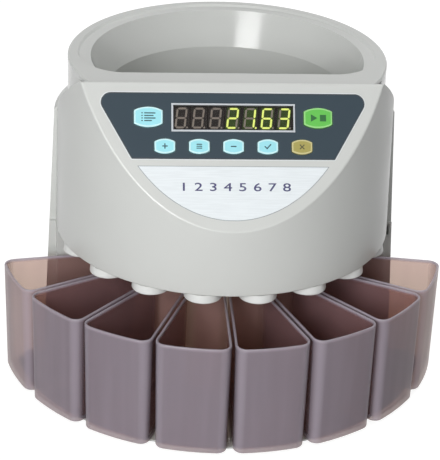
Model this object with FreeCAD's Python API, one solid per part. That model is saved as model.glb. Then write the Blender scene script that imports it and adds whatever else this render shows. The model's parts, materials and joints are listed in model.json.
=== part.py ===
"""Table-top coin sorter: a hopper, a turning sorting disc, eight spouts and eight pull-out boxes.

Millimetres, +Z up. The pieces are built about the drum's axis and moved at the end, so that the
origin lies under the middle of the footprint, on the surface that the feet stand on. Front is -Y.
"""

import FreeCAD, Part
import math
import os

V = FreeCAD.Vector
Z_AXIS = V(0, 0, 1)

# ---- stand -------------------------------------------------------------------------------
FOOT_H = 1.5
FOOT_R = 8.0
FOOT_EDGE = 0.5
FOOT_INSET = 16.0                   # from the edge of the base plate to a foot's middle
FRONT_FOOT_ANGLES = (-55.0, 0.0, 55.0)
REAR_FOOT_ANGLES = (-140.0, 140.0)
BASE_T = 1.5
BASE_INSET = 12.0                   # from the boxes' outer faces to the plate's edge
BASE_TOP = FOOT_H + BASE_T
RIB_T = 1.2
RIB_H = 5.0
RIB_INSET = 6.0                     # from the ends of the boxes to the ends of a divider rib

# ---- coin boxes --------------------------------------------------------------------------
BOX_COUNT = 8
BOX_PITCH = 20.0                    # degrees from one box to the next
BOX_HALF_ANGLE = BOX_PITCH * BOX_COUNT / 2
BOX_OUTER_R = 184.4
BOX_INNER_R = 82.0
BOX_GAP = 2.4                       # between two neighbours, at their rims
BOX_H = 93.7
BOX_DRAFT = 0.8                     # degrees off vertical, narrowing downwards
BOX_WALL = 2.0
BOX_FLOOR = 2.4
BOX_OUTER_CORNER = 9.0
BOX_INNER_CORNER = 6.0
BOX_FOOT_FILLET = 1.6
BOX_TOP = BASE_TOP + BOX_H
BASE_FRONT_R = BOX_OUTER_R - BASE_INSET

# ---- drum-shaped front cover and its console ----------------------------------------------
DRUM_CLEAR = 21.3                   # from the boxes' rims up to the drum
DRUM_BOTTOM_Z = BOX_TOP + DRUM_CLEAR
DRUM_BOTTOM_R = 138.3
DRUM_DRAFT = 0.98                   # degrees off vertical, narrowing upwards
SHELL_T = 2.5
DRUM_WALL_H = 55.0                  # at the front, up to the console's foot
CONSOLE_LOW_Z = DRUM_BOTTOM_Z + DRUM_WALL_H
CONSOLE_LEAN = 36.2                 # degrees off vertical
CONSOLE_LENGTH = 118.2
CONSOLE_EDGE_FILLET = 2.0
RIM_EDGE_FILLET = 1.0
CORNER_GAP_Y = 50.0                 # the shoulder stops here, short of the console
SEAM_GAP = 0.4

# ---- rear housing and pedestal -------------------------------------------------------------
HOUSING_TOP_R = DRUM_BOTTOM_R + 1.0
HOUSING_FLARE = 9.7                 # how much wider the housing is at its base
HOUSING_BASE_R = HOUSING_TOP_R + HOUSING_FLARE
RIM_H = 148.0                       # hopper rim above the drum's bottom edge
RIM_Z = DRUM_BOTTOM_Z + RIM_H
SKIRT_SHOWN = 38.0                  # hopper skirt seen above the housing's shoulder
SHOULDER_H = 11.0
HOUSING_TOP_Z = RIM_Z - SKIRT_SHOWN - SHOULDER_H
COLUMN_CLEAR = 3.0
COLUMN_R = BOX_INNER_R - COLUMN_CLEAR
CHEEK_TURN = 3.0                    # degrees from the last box's edge to the pedestal's cheek
CHEEK_ANGLE = BOX_HALF_ANGLE + CHEEK_TURN
LATCH_SLOT_W = 2.2
LATCH_SLOT_H = 11.0
LATCH_SLOT_DROP = 1.5               # below the top of the pedestal's front
VENT_COUNT = 9
VENT_W = 3.0
VENT_H = 26.0
VENT_Z = 104.0
VENT_STEP = 5.0                     # degrees
RECESS_W = 92.0
RECESS_H = 46.0
RECESS_Z = 44.0                     # its middle
RECESS_DEPTH = 11.0
RECESS_Y = HOUSING_BASE_R - RECESS_DEPTH
PANEL_T = 2.0

# ---- hopper bowl -----------------------------------------------------------------------------
RIM_SETBACK = 11.0                  # from the housing's wall in to the rim
RIM_R = HOUSING_TOP_R - RIM_SETBACK
LIP_T = 2.5
LIP_W = 9.3
LIP_INNER_R = RIM_R - LIP_W
LIP_STEP = 1.6
THROAT_STEP = 9.0                   # width of the ledge inside the lip
THROAT_R = LIP_INNER_R - THROAT_STEP
WAIST_R = 97.0
WAIST_DROP = 30.0
WAIST_Z = RIM_Z - WAIST_DROP
BOTTOM_R = 92.0
SKIRT_LAP = 14.0                    # skirt hidden below the housing's shoulder
CONSOLE_DEPTH = 21.5                # console face to the inside of the bowl's front wall
BOWL_CORNER_R = 38.0                # between the bowl's front wall and its sides
BOWL_FRONT_HALF = LIP_INNER_R + LIP_STEP  # where those corners end
LIP_CLEAR = 0.4
EDGE_BEVEL = 1.0

# ---- sorting deck ------------------------------------------------------------------------------
DECK_RISE = 30.0                    # above the drum's bottom edge
DECK_Z = DRUM_BOTTOM_Z + DECK_RISE
DECK_T = 3.0
DECK_TOP = DECK_Z + DECK_T
RAIL_CLEAR = 6.8                    # from the drum's outside to the rail
RAIL_T = 3.0
RAIL_R = DRUM_BOTTOM_R - RAIL_CLEAR - RAIL_T
RAIL_H = 9.0
DECK_R = RAIL_R + RAIL_T + 0.5
DISC_LIFT = 0.4
DISC_T = 4.0
DISC_R = 100.0
FINGER_COUNT = 12
FINGER_CLEAR = 0.6
FINGER_END_R = RAIL_R - FINGER_CLEAR
FINGER_ROOT = 6.0                   # how far a finger reaches under the disc's edge
FINGER_W = 9.0
RIB_COUNT = 6
DISC_RIB_W = 4.0
DISC_RIB_H = 6.0
DISC_RIB_END_R = 86.0
DISC_RIB_FLAT = 0.4                 # left flat on top of a rounded rib
CONE_BASE_R = 34.0
CONE_TOP_R = 15.0
CONE_H = 20.0
CAP_R = 13.0
CAP_H = 9.0
SMALLEST_COIN = 15.0                # radial width of the first slot
LARGEST_COIN = 23.5                 # radial width of the last slot
SLOT_LENGTH = 21.0                  # along the rail

# ---- spouts and their tray -------------------------------------------------------------------
SPOUT_R = 15.0                      # outside of a spout's mouth
SPOUT_TOP_R = 16.5                  # and of its upper end
SPOUT_WALL = 1.6
SPOUT_INSET = 4.5                   # from the rail in to the middle of a mouth
SPOUT_TOP_INSET = 11.5              # and to the middle of an upper end
SPOUT_RING_R = RAIL_R - SPOUT_INSET
SPOUT_TOP_RING_R = RAIL_R - SPOUT_TOP_INSET
SPOUT_SHOWN = 7.4                   # below the drum's bottom edge
SPOUT_BOTTOM_Z = DRUM_BOTTOM_Z - SPOUT_SHOWN
SPOUT_FLANGE_W = 1.2
SPOUT_FLANGE_T = 3.0
SPOUT_LIP = 1.2
TRAY_RISE = 1.5
TRAY_Z = DRUM_BOTTOM_Z + TRAY_RISE
TRAY_T = 2.5
FIT_CLEAR = 0.3

# ---- drive -----------------------------------------------------------------------------------
SHAFT_R = 6.0
SHAFT_RUN = 0.04                    # running clearance on the radius
BEARING_R = 11.0
BEARING_FLANGE_R = 17.0
BEARING_FLANGE_T = 3.0
GEAR_MODULE = 1.25
GEAR_TEETH = 56
PINION_TEETH = 14
DEDENDUM = 1.25                     # times the module
FLANK_STEPS = 5
GEAR_T = 8.0
GEAR_DROP = 21.0                    # from the sorting plate down to the gear's lower face
GEAR_Z = DECK_Z - GEAR_DROP
BACKLASH = 0.3
PRESSURE_ANGLE = 20.0
BEARING_GAP = 1.5                   # between gear and bearing
BEARING_BOTTOM_Z = GEAR_Z + GEAR_T + BEARING_GAP
SHAFT_PROUD = 2.0                   # main shaft below the gear
SHAFT_BOTTOM_Z = GEAR_Z - SHAFT_PROUD
MOTOR_SHAFT_R = 3.0
MOTOR_SHAFT_PROUD = 1.0             # above the pinion
MOTOR_R = 21.0
MOTOR_H = 46.0
GEARBOX_R = 25.0
GEARBOX_H = 18.0
BRACKET_T = 2.5
BRACKET_GAP = 3.5                   # between bracket and gear
BRACKET_Z = GEAR_Z - BRACKET_GAP - BRACKET_T
BRACKET_W = 84.0
BRACKET_D = 50.0
STANDOFF_R = 4.0
EDGE_MARGIN = 1.0                   # from a stand-off or boss to the edge of its plate

# ---- pillars, screws and boards -------------------------------------------------------------
PILLAR_R = 5.0
PILLARS = [(62, -20), (-62, -20), (88, 66), (-88, 66)]
SCREW_R = 1.5
SCREW_CLEAR = 0.2
THREAD_CLEAR = 0.02
SCREW_HEAD_R = 3.2
SCREW_HEAD_T = 1.2
SCREW_L = 12.0
BOARD_T = 1.6
SENSOR_W = 8.0
SENSOR_D = 7.0
SENSOR_H = 4.0
SENSOR_BOARD_W = 9.0
SENSOR_INSET = 22.4                 # from the spouts' upper ends in to the sensors
SENSOR_RING_R = SPOUT_TOP_RING_R - SENSOR_INSET

# ---- console pieces: u across, w up the slope, n out of the face ------------------------------
OVERLAY_T = 0.5
OVERLAY_TOP_W = 109.4
OVERLAY_LOW_W = 57.2
OVERLAY_TOP_HALF = 107.5
OVERLAY_LOW_HALF = 78.2
OVERLAY_CORNER_R = 7.8
WINDOW_W = 89.8                     # middle of the display, up the slope
WINDOW_SIZE = (92.8, 19.6)
BEZEL_BORDER = 1.4
BEZEL_T = 0.9
BEZEL_EDGE = 0.4
LENS_T = 1.5
LENS_CLEAR = 0.05
DIGIT_COUNT = 7
DIGIT_PITCH = WINDOW_SIZE[0] / DIGIT_COUNT
DIGIT_SPACE = 0.4                   # between two digits
DIGIT_MARGIN = 0.5                  # above and below a digit
DIGIT_GAP = 0.1                     # between digits and lens
LABEL_TOP_W = 51.3
LABEL_LOW_W = 9.5
LABEL_HALF = 72.8
LABEL_T = 0.4
LABEL_RADII = (102.0, 139.0)
LARGE_KEY = (22.2, 10.4, 16.2)      # width, height of the straight sides, height at the middle
SMALL_KEY = (16.0, 7.2, 11.8)
LARGE_KEY_U = 65.5
LARGE_KEY_W = 89.9
SMALL_KEY_PITCH = 26.4
SMALL_KEY_W = 67.0
KEY_PROUD = 1.3
KEY_CLEAR = 0.3
KEY_BEVEL = 0.4
KEY_FLANGE_W = 1.0
KEY_FLANGE_T = 1.2
KEY_TRAVEL = 0.8
PAD_T = 1.0
PAD_INSET = 1.0
DOME_R = 3.0
DOME_GAP = 0.1
BOARD_GAP = 2.6                     # from a pressed key down to the control board
CONTROL_BOARD_W = 168.0
CONTROL_BOARD_LOW = SMALL_KEY_W - 11.0
CONTROL_BOARD_TOP = LARGE_KEY_W + 18.1
CHIP = (24.0, 12.0, 3.0)
CHIP_U = -20.0
PLUG = (30.0, 8.0, 6.0)
PLUG_U = 40.0
BOSS_R = 3.0

# ---- mains parts ---------------------------------------------------------------------------
TRANSFORMER = (46.0, 38.0, 36.0)
COIL = (30.0, 50.0, 24.0)
TRANSFORMER_AT = (-46, 84)
POWER_BOARD = (60.0, 46.0)
POWER_BOARD_AT = (44, 84)
POWER_BOARD_LIFT = 6.0
CAPACITOR_R = 7.0
CAPACITOR_H = 24.0
CAPACITOR_XS = (-18.0, 0.0)         # from the board's middle
HEAT_SINK = (3.0, 30.0, 20.0)
HEAT_SINK_X = 20.0
MAINS_FLANGE_T = 1.8
INLET_SIZE = (27.0, 19.5)
INLET_FLANGE = (31.0, 23.5)
INLET_CAVITY = (24.0, 16.4)
INLET_CAVITY_D = 16.0
INLET_D = 20.0
INLET_X = -22.0
BLADE = (2.0, 14.0, 4.0)
BLADE_ROOT = 0.5
BLADE_PITCH = 7.0
EARTH_RISE = 4.0
SWITCH_X = 22.0
SWITCH_SIZE = (20.0, 15.0)
SWITCH_FLANGE = (24.0, 19.0)
SWITCH_HOLE = (16.4, 12.4)
SWITCH_D = 12.0
SWITCH_FLOOR = 2.0
ROCKER_W = 15.8
ROCKER_TILT = 8.0
ROCKER_CORNER = (4.4, 5.2)
ROCKER_ROOT = (3.0, 3.6)
ROCKER_DIP = 2.6
ROCKER_SINK = 1.0                   # of its pivot, below the panel's face

BIG = 400.0                         # longer than anything in the machine
SINK = 0.1                          # how far a joined block reaches into what carries it
NEAR = 0.01
LEAN = math.radians(CONSOLE_LEAN)


# ---- helpers -----------------------------------------------------------------------------------
def drum_radius(z):
    """Outer radius of the front cover at height z."""
    return DRUM_BOTTOM_R - (z - DRUM_BOTTOM_Z) * math.tan(math.radians(DRUM_DRAFT))


CONSOLE_Y = -drum_radius(CONSOLE_LOW_Z)
CONSOLE_TOP_Z = CONSOLE_LOW_Z + CONSOLE_LENGTH * math.cos(LEAN)


def housing_radius(z):
    """Outer radius of the rear housing at height z."""
    share = (z - BASE_TOP) / (HOUSING_TOP_Z - BASE_TOP)
    return HOUSING_BASE_R + share * (HOUSING_TOP_R - HOUSING_BASE_R)


def cylinder(r, z0, z1, x=0.0, y=0.0):
    return Part.makeCylinder(r, z1 - z0, V(x, y, z0))


def tube(r_out, r_in, z0, z1, x=0.0, y=0.0):
    return cylinder(r_out, z0, z1, x, y).cut(cylinder(r_in, z0 - 1, z1 + 1, x, y))


def box(x0, x1, y0, y1, z0, z1):
    return Part.makeBox(x1 - x0, y1 - y0, z1 - z0, V(x0, y0, z0))


def plate(width, depth, z0, z1, x=0.0, y=0.0):
    """Block centred on x, y."""
    return box(x - width / 2, x + width / 2, y - depth / 2, y + depth / 2, z0, z1)


def revolve(points):
    """Solid of revolution about Z from (radius, height) points."""
    ring = [V(r, 0, z) for r, z in points]
    face = Part.Face(Part.makePolygon(ring + ring[:1]))
    return face.revolve(V(0, 0, 0), Z_AXIS, 360)


def prism(points, z0, z1):
    ring = [V(x, y, z0) for x, y in points]
    face = Part.Face(Part.makePolygon(ring + ring[:1]))
    return face.extrude(V(0, 0, z1 - z0))


def behind(point, normal):
    """Half space on the side of point that normal points to."""
    block = Part.makeBox(2 * BIG, 2 * BIG, BIG, V(-BIG, -BIG, 0))
    block.Placement = FreeCAD.Placement(point, FreeCAD.Rotation(Z_AXIS, normal))
    return block


def turned(shape, degrees):
    copy = shape.copy()
    copy.rotate(V(0, 0, 0), Z_AXIS, degrees)
    return copy


def joined(shapes):
    whole = shapes[0]
    for shape in shapes[1:]:
        whole = whole.fuse(shape)
    return whole.removeSplitter()


def without(shape, tools):
    for tool in tools:
        shape = shape.cut(tool)
    return shape


def edges_at(shape, z):
    """Edges that lie flat at height z."""
    return [e for e in shape.Edges if e.BoundBox.ZMin > z - NEAR and e.BoundBox.ZMax < z + NEAR]


def front_half(z0=0.0):
    return box(-BIG, BIG, -BIG, -SEAM_GAP, z0, BIG)


def sector(half_angle, z0, z1):
    """Sector to the front, reaching far past the machine."""
    edge = math.radians(half_angle)
    side, reach = BIG * math.sin(edge), BIG * math.cos(edge)
    return prism([(0, 0), (-side, -reach), (-side, -BIG), (side, -BIG), (side, -reach)], z0, z1)


def box_angle(k):
    """Angle of box k, counted from the front, for k from 1 to BOX_COUNT."""
    return (k - (BOX_COUNT + 1) / 2) * BOX_PITCH


def on_console(shape, u=0.0, w=0.0, n=0.0):
    """Carry a shape drawn with x = u, y = w, z = n to its place on the console."""
    copy = shape.copy()
    copy.translate(V(u, w, n))
    copy.rotate(V(0, 0, 0), V(1, 0, 0), 90 - CONSOLE_LEAN)
    copy.translate(V(0, CONSOLE_Y, CONSOLE_LOW_Z))
    return copy


CONSOLE_NORMAL = V(0, -math.cos(LEAN), math.sin(LEAN))
CONSOLE_SLOPE = V(0, math.sin(LEAN), math.cos(LEAN))


def console_point(w, n):
    return V(0, CONSOLE_Y, CONSOLE_LOW_Z) + CONSOLE_SLOPE * w + CONSOLE_NORMAL * n


def inside_console(depth):
    """Half space that starts depth below the console face."""
    return behind(console_point(0, -depth), CONSOLE_NORMAL * -1)


# ---- stand ---------------------------------------------------------------------------------------
def base_outline(z0, z1):
    front = cylinder(BASE_FRONT_R, z0, z1).common(sector(BOX_HALF_ANGLE, z0 - 1, z1 + 1))
    return joined([front, cylinder(HOUSING_BASE_R, z0, z1)])


def base_plate():
    rib_ends = (RIB_INSET - BOX_OUTER_R, -BOX_INNER_R - RIB_INSET)
    rib = box(-RIB_T / 2, RIB_T / 2, *rib_ends, BASE_TOP - SINK, BASE_TOP + RIB_H)
    rib = rib.common(cylinder(BASE_FRONT_R - RIB_INSET, 0, BIG))
    ribs = [turned(rib, box_angle(k) - BOX_PITCH / 2) for k in range(1, BOX_COUNT + 2)]
    boss_top = BASE_TOP + POWER_BOARD_LIFT
    bosses = [cylinder(BOSS_R, BASE_TOP - SINK, boss_top, x, y) for x, y in power_board_holes()]
    holes = [cylinder(SCREW_R + SCREW_CLEAR, 0, BASE_TOP + 1, x, y) for x, y in PILLARS]
    return without(joined([base_outline(FOOT_H, BASE_TOP)] + ribs + bosses), holes)


def rubber_feet():
    feet = []
    for angles, edge_r in ((FRONT_FOOT_ANGLES, BASE_FRONT_R), (REAR_FOOT_ANGLES, HOUSING_BASE_R)):
        foot = cylinder(FOOT_R, 0, FOOT_H, 0, FOOT_INSET - edge_r)
        foot = foot.makeFillet(FOOT_EDGE, edges_at(foot, 0))
        feet += [turned(foot, angle) for angle in angles]
    return Part.makeCompound(feet)


# ---- coin boxes -------------------------------------------------------------------------------
def upright_edges(shape, y0, y1):
    upright = [e for e in shape.Edges if e.BoundBox.XLength < NEAR and e.BoundBox.YLength < NEAR]
    return [e for e in upright if e.BoundBox.YMin > y0 and e.BoundBox.YMax < y1]


def box_outline(inset, z):
    """Wedge at the front at height z, inset from the box's outer faces, its outer side round the ring."""
    half = math.radians(BOX_PITCH / 2)
    shrink = inset + (BOX_TOP - z) * math.tan(math.radians(BOX_DRAFT))
    clear = BOX_GAP / 2 + shrink
    outer = BOX_OUTER_R - shrink
    inner = BOX_INNER_R + shrink
    near_x = (inner * math.sin(half) - clear) / math.cos(half)
    far_angle = half - math.asin(clear / outer)
    far_x, far_y = outer * math.sin(far_angle), -outer * math.cos(far_angle)
    arc = Part.Arc(V(far_x, far_y, z), V(0, -outer, z), V(-far_x, far_y, z)).toShape()
    corners = [V(-far_x, far_y, z), V(-near_x, -inner, z), V(near_x, -inner, z), V(far_x, far_y, z)]
    wire = Part.Wire([arc] + Part.makePolygon(corners).Edges)
    wedge = Part.Face(wire).extrude(V(0, 0, 1))
    wedge = wedge.makeFillet(BOX_OUTER_CORNER - shrink, upright_edges(wedge, -BIG, far_y + 1))
    wedge = wedge.makeFillet(BOX_INNER_CORNER - shrink, upright_edges(wedge, -inner - 1, BIG))
    floor = [face for face in wedge.Faces if face.BoundBox.ZMax < z + NEAR]
    return floor[0].OuterWire


def box_block(inset, z0):
    """Drafted wedge from height z0 up to the rim, rounded round its foot."""
    block = Part.makeLoft([box_outline(inset, z0), box_outline(inset, BOX_TOP)], True, True)
    return block.makeFillet(BOX_FOOT_FILLET, edges_at(block, z0))


def coin_box(k):
    box_shape = box_block(0.0, BASE_TOP).cut(box_block(BOX_WALL, BASE_TOP + BOX_FLOOR))
    return turned(box_shape, box_angle(k))


# ---- covers ------------------------------------------------------------------------------------
def drum_cone(inset, z0, z1):
    return Part.makeCone(drum_radius(z0) - inset, drum_radius(z1) - inset, z1 - z0, V(0, 0, z0))


def console_edges(shape):
    """Edges of the console face: its curved outline and its straight top."""
    origin = console_point(0, 0)
    found = []
    for edge in shape.Edges:
        ends = [edge.valueAt(edge.FirstParameter), edge.valueAt(edge.LastParameter), edge.CenterOfMass]
        if all(abs((p - origin).dot(CONSOLE_NORMAL)) < 5 * NEAR for p in ends):
            found.append(edge)
    return found


def below_console_top(depth):
    """Half space on the lower side of the cover's top wall, depth below its outside."""
    return behind(console_point(CONSOLE_LENGTH - depth, 0), CONSOLE_SLOPE * -1)


def front_cover():
    top = CONSOLE_TOP_Z + 1
    under_face = inside_console(SHELL_T)
    outside = drum_cone(0, DRUM_BOTTOM_Z, top).common(front_half())
    outside = outside.common(inside_console(0)).common(below_console_top(0))
    outside = outside.makeFillet(CONSOLE_EDGE_FILLET, console_edges(outside))
    foot = [e for e in edges_at(outside, DRUM_BOTTOM_Z) if e.BoundBox.YLength > 1]
    outside = outside.makeFillet(RIM_EDGE_FILLET, foot)
    hollow = drum_cone(SHELL_T, DRUM_BOTTOM_Z - 1, top).common(under_face)
    hollow = hollow.common(below_console_top(SHELL_T))
    bowl_hole = cylinder(RIM_R + LIP_CLEAR, DRUM_BOTTOM_Z, BIG).common(under_face)
    corner_gap = drum_cone(SHELL_T, DRUM_BOTTOM_Z, top).common(under_face)
    corner_gap = corner_gap.common(box(-BIG, BIG, -BIG, -CORNER_GAP_Y, HOUSING_TOP_Z, BIG))
    cover = without(outside, [hollow, bowl_hole, corner_gap])
    boss = cylinder(BOSS_R, -board_depth(), SINK - SHELL_T)
    cover = joined([cover] + [on_console(boss, u, w) for u, w in control_board_holes()])
    window = plate(WINDOW_SIZE[0], WINDOW_SIZE[1], -SHELL_T - 1, 1)
    holes = [on_console(window, 0, WINDOW_W)]
    for size, u, w in key_places().values():
        holes.append(on_console(key_prism(size, KEY_CLEAR, -SHELL_T - 1, 1), u, w))
    return without(cover, holes)


def housing_profile(inset):
    """Outside of the rear housing, or its hollow when inset."""
    shoulder_z = HOUSING_TOP_Z + SHOULDER_H
    points = [(0, BASE_TOP - inset), (HOUSING_BASE_R - inset, BASE_TOP - inset)]
    points += [(HOUSING_TOP_R - inset, HOUSING_TOP_Z - inset / 2), (RIM_R - inset, shoulder_z - inset / 2)]
    return revolve(points + [(0, shoulder_z - inset / 2)])


def recess_block(grow, y0, y1):
    wide, high = RECESS_W / 2 + grow, RECESS_H / 2 + grow
    return box(-wide, wide, y0, y1, RECESS_Z - high, RECESS_Z + high)


def seam_flange():
    """Front edge of the rear housing, turned in behind the edge of the drum."""
    slab = box(-BIG, BIG, 0, SHELL_T, DRUM_BOTTOM_Z - 2 * SHELL_T, HOUSING_TOP_Z + SHOULDER_H)
    return slab.common(housing_profile(0)).cut(drum_cone(SHELL_T, BASE_TOP, RIM_Z))


def rear_housing():
    shell = housing_profile(0).common(box(-BIG, BIG, 0, BIG, 0, BIG))
    shell = without(shell, [housing_profile(SHELL_T), cylinder(RIM_R + LIP_CLEAR, DECK_Z, BIG)])
    walls = recess_block(SHELL_T, RECESS_Y - SHELL_T, HOUSING_BASE_R)
    shell = joined([shell, walls.common(housing_profile(0)), seam_flange()])
    recess = recess_block(0, RECESS_Y, BIG)
    doorway = recess_block(-SHELL_T, RECESS_Y - 2 * SHELL_T, RECESS_Y + 1)
    vent = box(-VENT_W / 2, VENT_W / 2, HOUSING_TOP_R - 3 * SHELL_T, BIG, VENT_Z, VENT_Z + VENT_H)
    vents = [turned(vent, (i - (VENT_COUNT - 1) / 2) * VENT_STEP) for i in range(VENT_COUNT)]
    return without(shell, [recess, doorway] + vents)


def column_cover():
    wing_top = DRUM_BOTTOM_Z - FIT_CLEAR
    cheek_r = drum_radius(DRUM_BOTTOM_Z)
    bulge = tube(COLUMN_R, COLUMN_R - SHELL_T, BASE_TOP, TRAY_Z)
    seam = box(-BIG, BIG, -SEAM_GAP - SHELL_T, -SEAM_GAP, BASE_TOP, wing_top)
    low_r, high_r = housing_radius(BASE_TOP), housing_radius(wing_top)
    seam = seam.common(Part.makeCone(low_r, high_r, wing_top - BASE_TOP, V(0, 0, BASE_TOP)))
    seam = seam.cut(cylinder(cheek_r - SHELL_T, 0, BIG))
    cheek = tube(cheek_r, cheek_r - SHELL_T, BASE_TOP, wing_top)
    cheek = cheek.cut(sector(CHEEK_ANGLE, BASE_TOP - 1, wing_top + 1))
    wing = box(0, SHELL_T, -BIG, SHELL_T - COLUMN_R, BASE_TOP, wing_top)
    wings = [turned(wing, CHEEK_ANGLE), turned(wing.mirror(V(0, 0, 0), V(1, 0, 0)), -CHEEK_ANGLE)]
    wings = [wing.common(cylinder(cheek_r, 0, BIG)) for wing in wings]
    slot_x, slot_top = (cheek_r + high_r) / 2, wing_top - LATCH_SLOT_DROP
    latch_slot = plate(LATCH_SLOT_W, 4 * SHELL_T, slot_top - LATCH_SLOT_H, slot_top, slot_x)
    return joined([bulge, seam, cheek] + wings).common(front_half()).cut(latch_slot)


# ---- hopper bowl -------------------------------------------------------------------------------
def bowl_inside(inset):
    """Space for the coins, or that space grown by inset. The top runs past the rim."""
    foot_z = DECK_TOP + RAIL_H
    step_z = RIM_Z - LIP_STEP
    above = RIM_Z + LIP_T
    points = [(0, foot_z - 1), (BOTTOM_R + inset, foot_z - 1), (BOTTOM_R + inset, foot_z)]
    points += [(WAIST_R + inset, WAIST_Z), (THROAT_R + inset, step_z), (LIP_INNER_R + inset, step_z)]
    points += [(LIP_INNER_R + inset + LIP_STEP, RIM_Z), (LIP_INNER_R + inset + LIP_STEP, above), (0, above)]
    return revolve(points).common(behind_bowl_front(inset))


def behind_bowl_front(inset):
    """Space behind the bowl's front wall, with its rounded corners."""
    half, top = BOWL_FRONT_HALF + inset, inset - CONSOLE_DEPTH
    block = box(-half, half, -BIG, BIG, -BIG, top)
    corners = [e for e in edges_at(block, top) if e.BoundBox.YLength > 1]
    return on_console(block.makeFillet(BOWL_CORNER_R + inset, corners))


def hopper_bowl():
    foot_z = DECK_TOP + RAIL_H
    lip_z = RIM_Z - LIP_T
    lip = [(0, lip_z), (RIM_R, lip_z), (RIM_R, RIM_Z - EDGE_BEVEL), (RIM_R - EDGE_BEVEL, RIM_Z), (0, RIM_Z)]
    lip = revolve(lip).common(inside_console(SHELL_T + LIP_CLEAR))
    skirt = tube(RIM_R, RIM_R - SHELL_T, HOUSING_TOP_Z + SHOULDER_H - SKIRT_LAP, RIM_Z - LIP_T / 2)
    skirt = skirt.common(inside_console(CONSOLE_DEPTH - SHELL_T))
    funnel = bowl_inside(SHELL_T).common(cylinder(RIM_R - 1, foot_z, RIM_Z - LIP_T / 2))
    flange = cylinder(RAIL_R + RAIL_T, foot_z, foot_z + SHELL_T)
    return joined([lip, skirt, funnel, flange]).cut(bowl_inside(0))


# ---- sorting deck ------------------------------------------------------------------------------
def slot_depth(k):
    """Radial width of slot k, graded from the smallest coin to the largest."""
    return SMALLEST_COIN + (LARGEST_COIN - SMALLEST_COIN) * (k - 1) / (BOX_COUNT - 1)


def sorting_plate():
    deck = cylinder(DECK_R, DECK_Z, DECK_TOP)
    slots = []
    for k in range(1, BOX_COUNT + 1):
        slot = box(-SLOT_LENGTH / 2, SLOT_LENGTH / 2, -RAIL_R, slot_depth(k) - RAIL_R, 0, BIG)
        slots.append(turned(slot.common(cylinder(RAIL_R, 0, BIG)), box_angle(k)))
    holes = [cylinder(BEARING_R, 0, BIG)]
    head_seat = DECK_TOP - SCREW_HEAD_T
    for x, y in PILLARS:
        holes.append(cylinder(SCREW_R + SCREW_CLEAR, 0, BIG, x, y))
        holes.append(cylinder(SCREW_HEAD_R + SCREW_CLEAR, head_seat, BIG, x, y))
    return without(deck, slots + holes)


def coin_rail():
    return tube(RAIL_R + RAIL_T, RAIL_R, DECK_TOP, DECK_TOP + RAIL_H)


def sorting_disc():
    low = DECK_TOP + DISC_LIFT
    top = low + DISC_T
    rib_top = top + DISC_RIB_H
    finger = box(-FINGER_W / 2, FINGER_W / 2, -FINGER_END_R, FINGER_ROOT - DISC_R, low, top)
    finger = finger.common(cylinder(FINGER_END_R, 0, BIG))
    rib = box(-DISC_RIB_W / 2, DISC_RIB_W / 2, -DISC_RIB_END_R, -CONE_TOP_R, top - SINK, rib_top)
    long_edges = [e for e in edges_at(rib, rib_top) if e.BoundBox.YLength > DISC_RIB_W]
    rib = rib.makeFillet((DISC_RIB_W - DISC_RIB_FLAT) / 2, long_edges)
    cone = Part.makeCone(CONE_BASE_R, CONE_TOP_R, CONE_H + SINK, V(0, 0, top - SINK))
    pieces = [cylinder(DISC_R, low, top), cone]
    pieces += [turned(finger, i * 360 / FINGER_COUNT) for i in range(FINGER_COUNT)]
    pieces += [turned(rib, (i + 0.5) * 360 / RIB_COUNT) for i in range(RIB_COUNT)]
    return joined(pieces).cut(cylinder(SHAFT_R, 0, BIG))


def disc_top():
    return DECK_TOP + DISC_LIFT + DISC_T + CONE_H


def disc_cap():
    low = disc_top()
    cap = cylinder(CAP_R, low, low + CAP_H)
    return cap.makeFillet(CAP_H / 2, edges_at(cap, low + CAP_H))


# ---- spouts and tray ---------------------------------------------------------------------------
def spout_ring(inset, z):
    """Round section, at height z, of a spout that leans out to its mouth."""
    share = (z - SPOUT_BOTTOM_Z) / (DECK_Z - SPOUT_BOTTOM_Z)
    radius = SPOUT_R + share * (SPOUT_TOP_R - SPOUT_R) - inset
    middle = SPOUT_RING_R + share * (SPOUT_TOP_RING_R - SPOUT_RING_R)
    return Part.Wire(Part.makeCircle(radius, V(0, -middle, z)))


def spout_cone(inset, z0, z1):
    return Part.makeLoft([spout_ring(inset, z0), spout_ring(inset, z1)], True, True)


def coin_spout(k):
    """Leaning spout; inside the drum its side is cut back to clear the drum's wall."""
    barrel = spout_cone(0, SPOUT_BOTTOM_Z, DECK_Z)
    barrel = barrel.makeFillet(SPOUT_LIP, edges_at(barrel, SPOUT_BOTTOM_Z))
    flange_r = SPOUT_TOP_R + SPOUT_FLANGE_W
    flange = cylinder(flange_r, DECK_Z - SPOUT_FLANGE_T, DECK_Z, 0, -SPOUT_TOP_RING_R)
    bore = spout_cone(SPOUT_WALL, SPOUT_BOTTOM_Z - 1, DECK_Z + 1)
    low, high = DRUM_BOTTOM_Z - FIT_CLEAR, DECK_Z + 1
    wall = cylinder(BIG, low, high).cut(drum_cone(SHELL_T + FIT_CLEAR, low, high))
    return turned(without(joined([barrel, flange]), [bore, wall]), box_angle(k))


def spout_tray():
    edge = drum_radius(TRAY_Z + TRAY_T) - SHELL_T - FIT_CLEAR
    ring = tube(edge, COLUMN_R - SHELL_T, TRAY_Z, TRAY_Z + TRAY_T).common(front_half())
    hole = spout_cone(-FIT_CLEAR, SPOUT_BOTTOM_Z, DECK_Z)
    return without(ring, [turned(hole, box_angle(k)) for k in range(1, BOX_COUNT + 1)])


# ---- drive -----------------------------------------------------------------------------------
def involute(angle):
    return math.tan(angle) - angle


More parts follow.
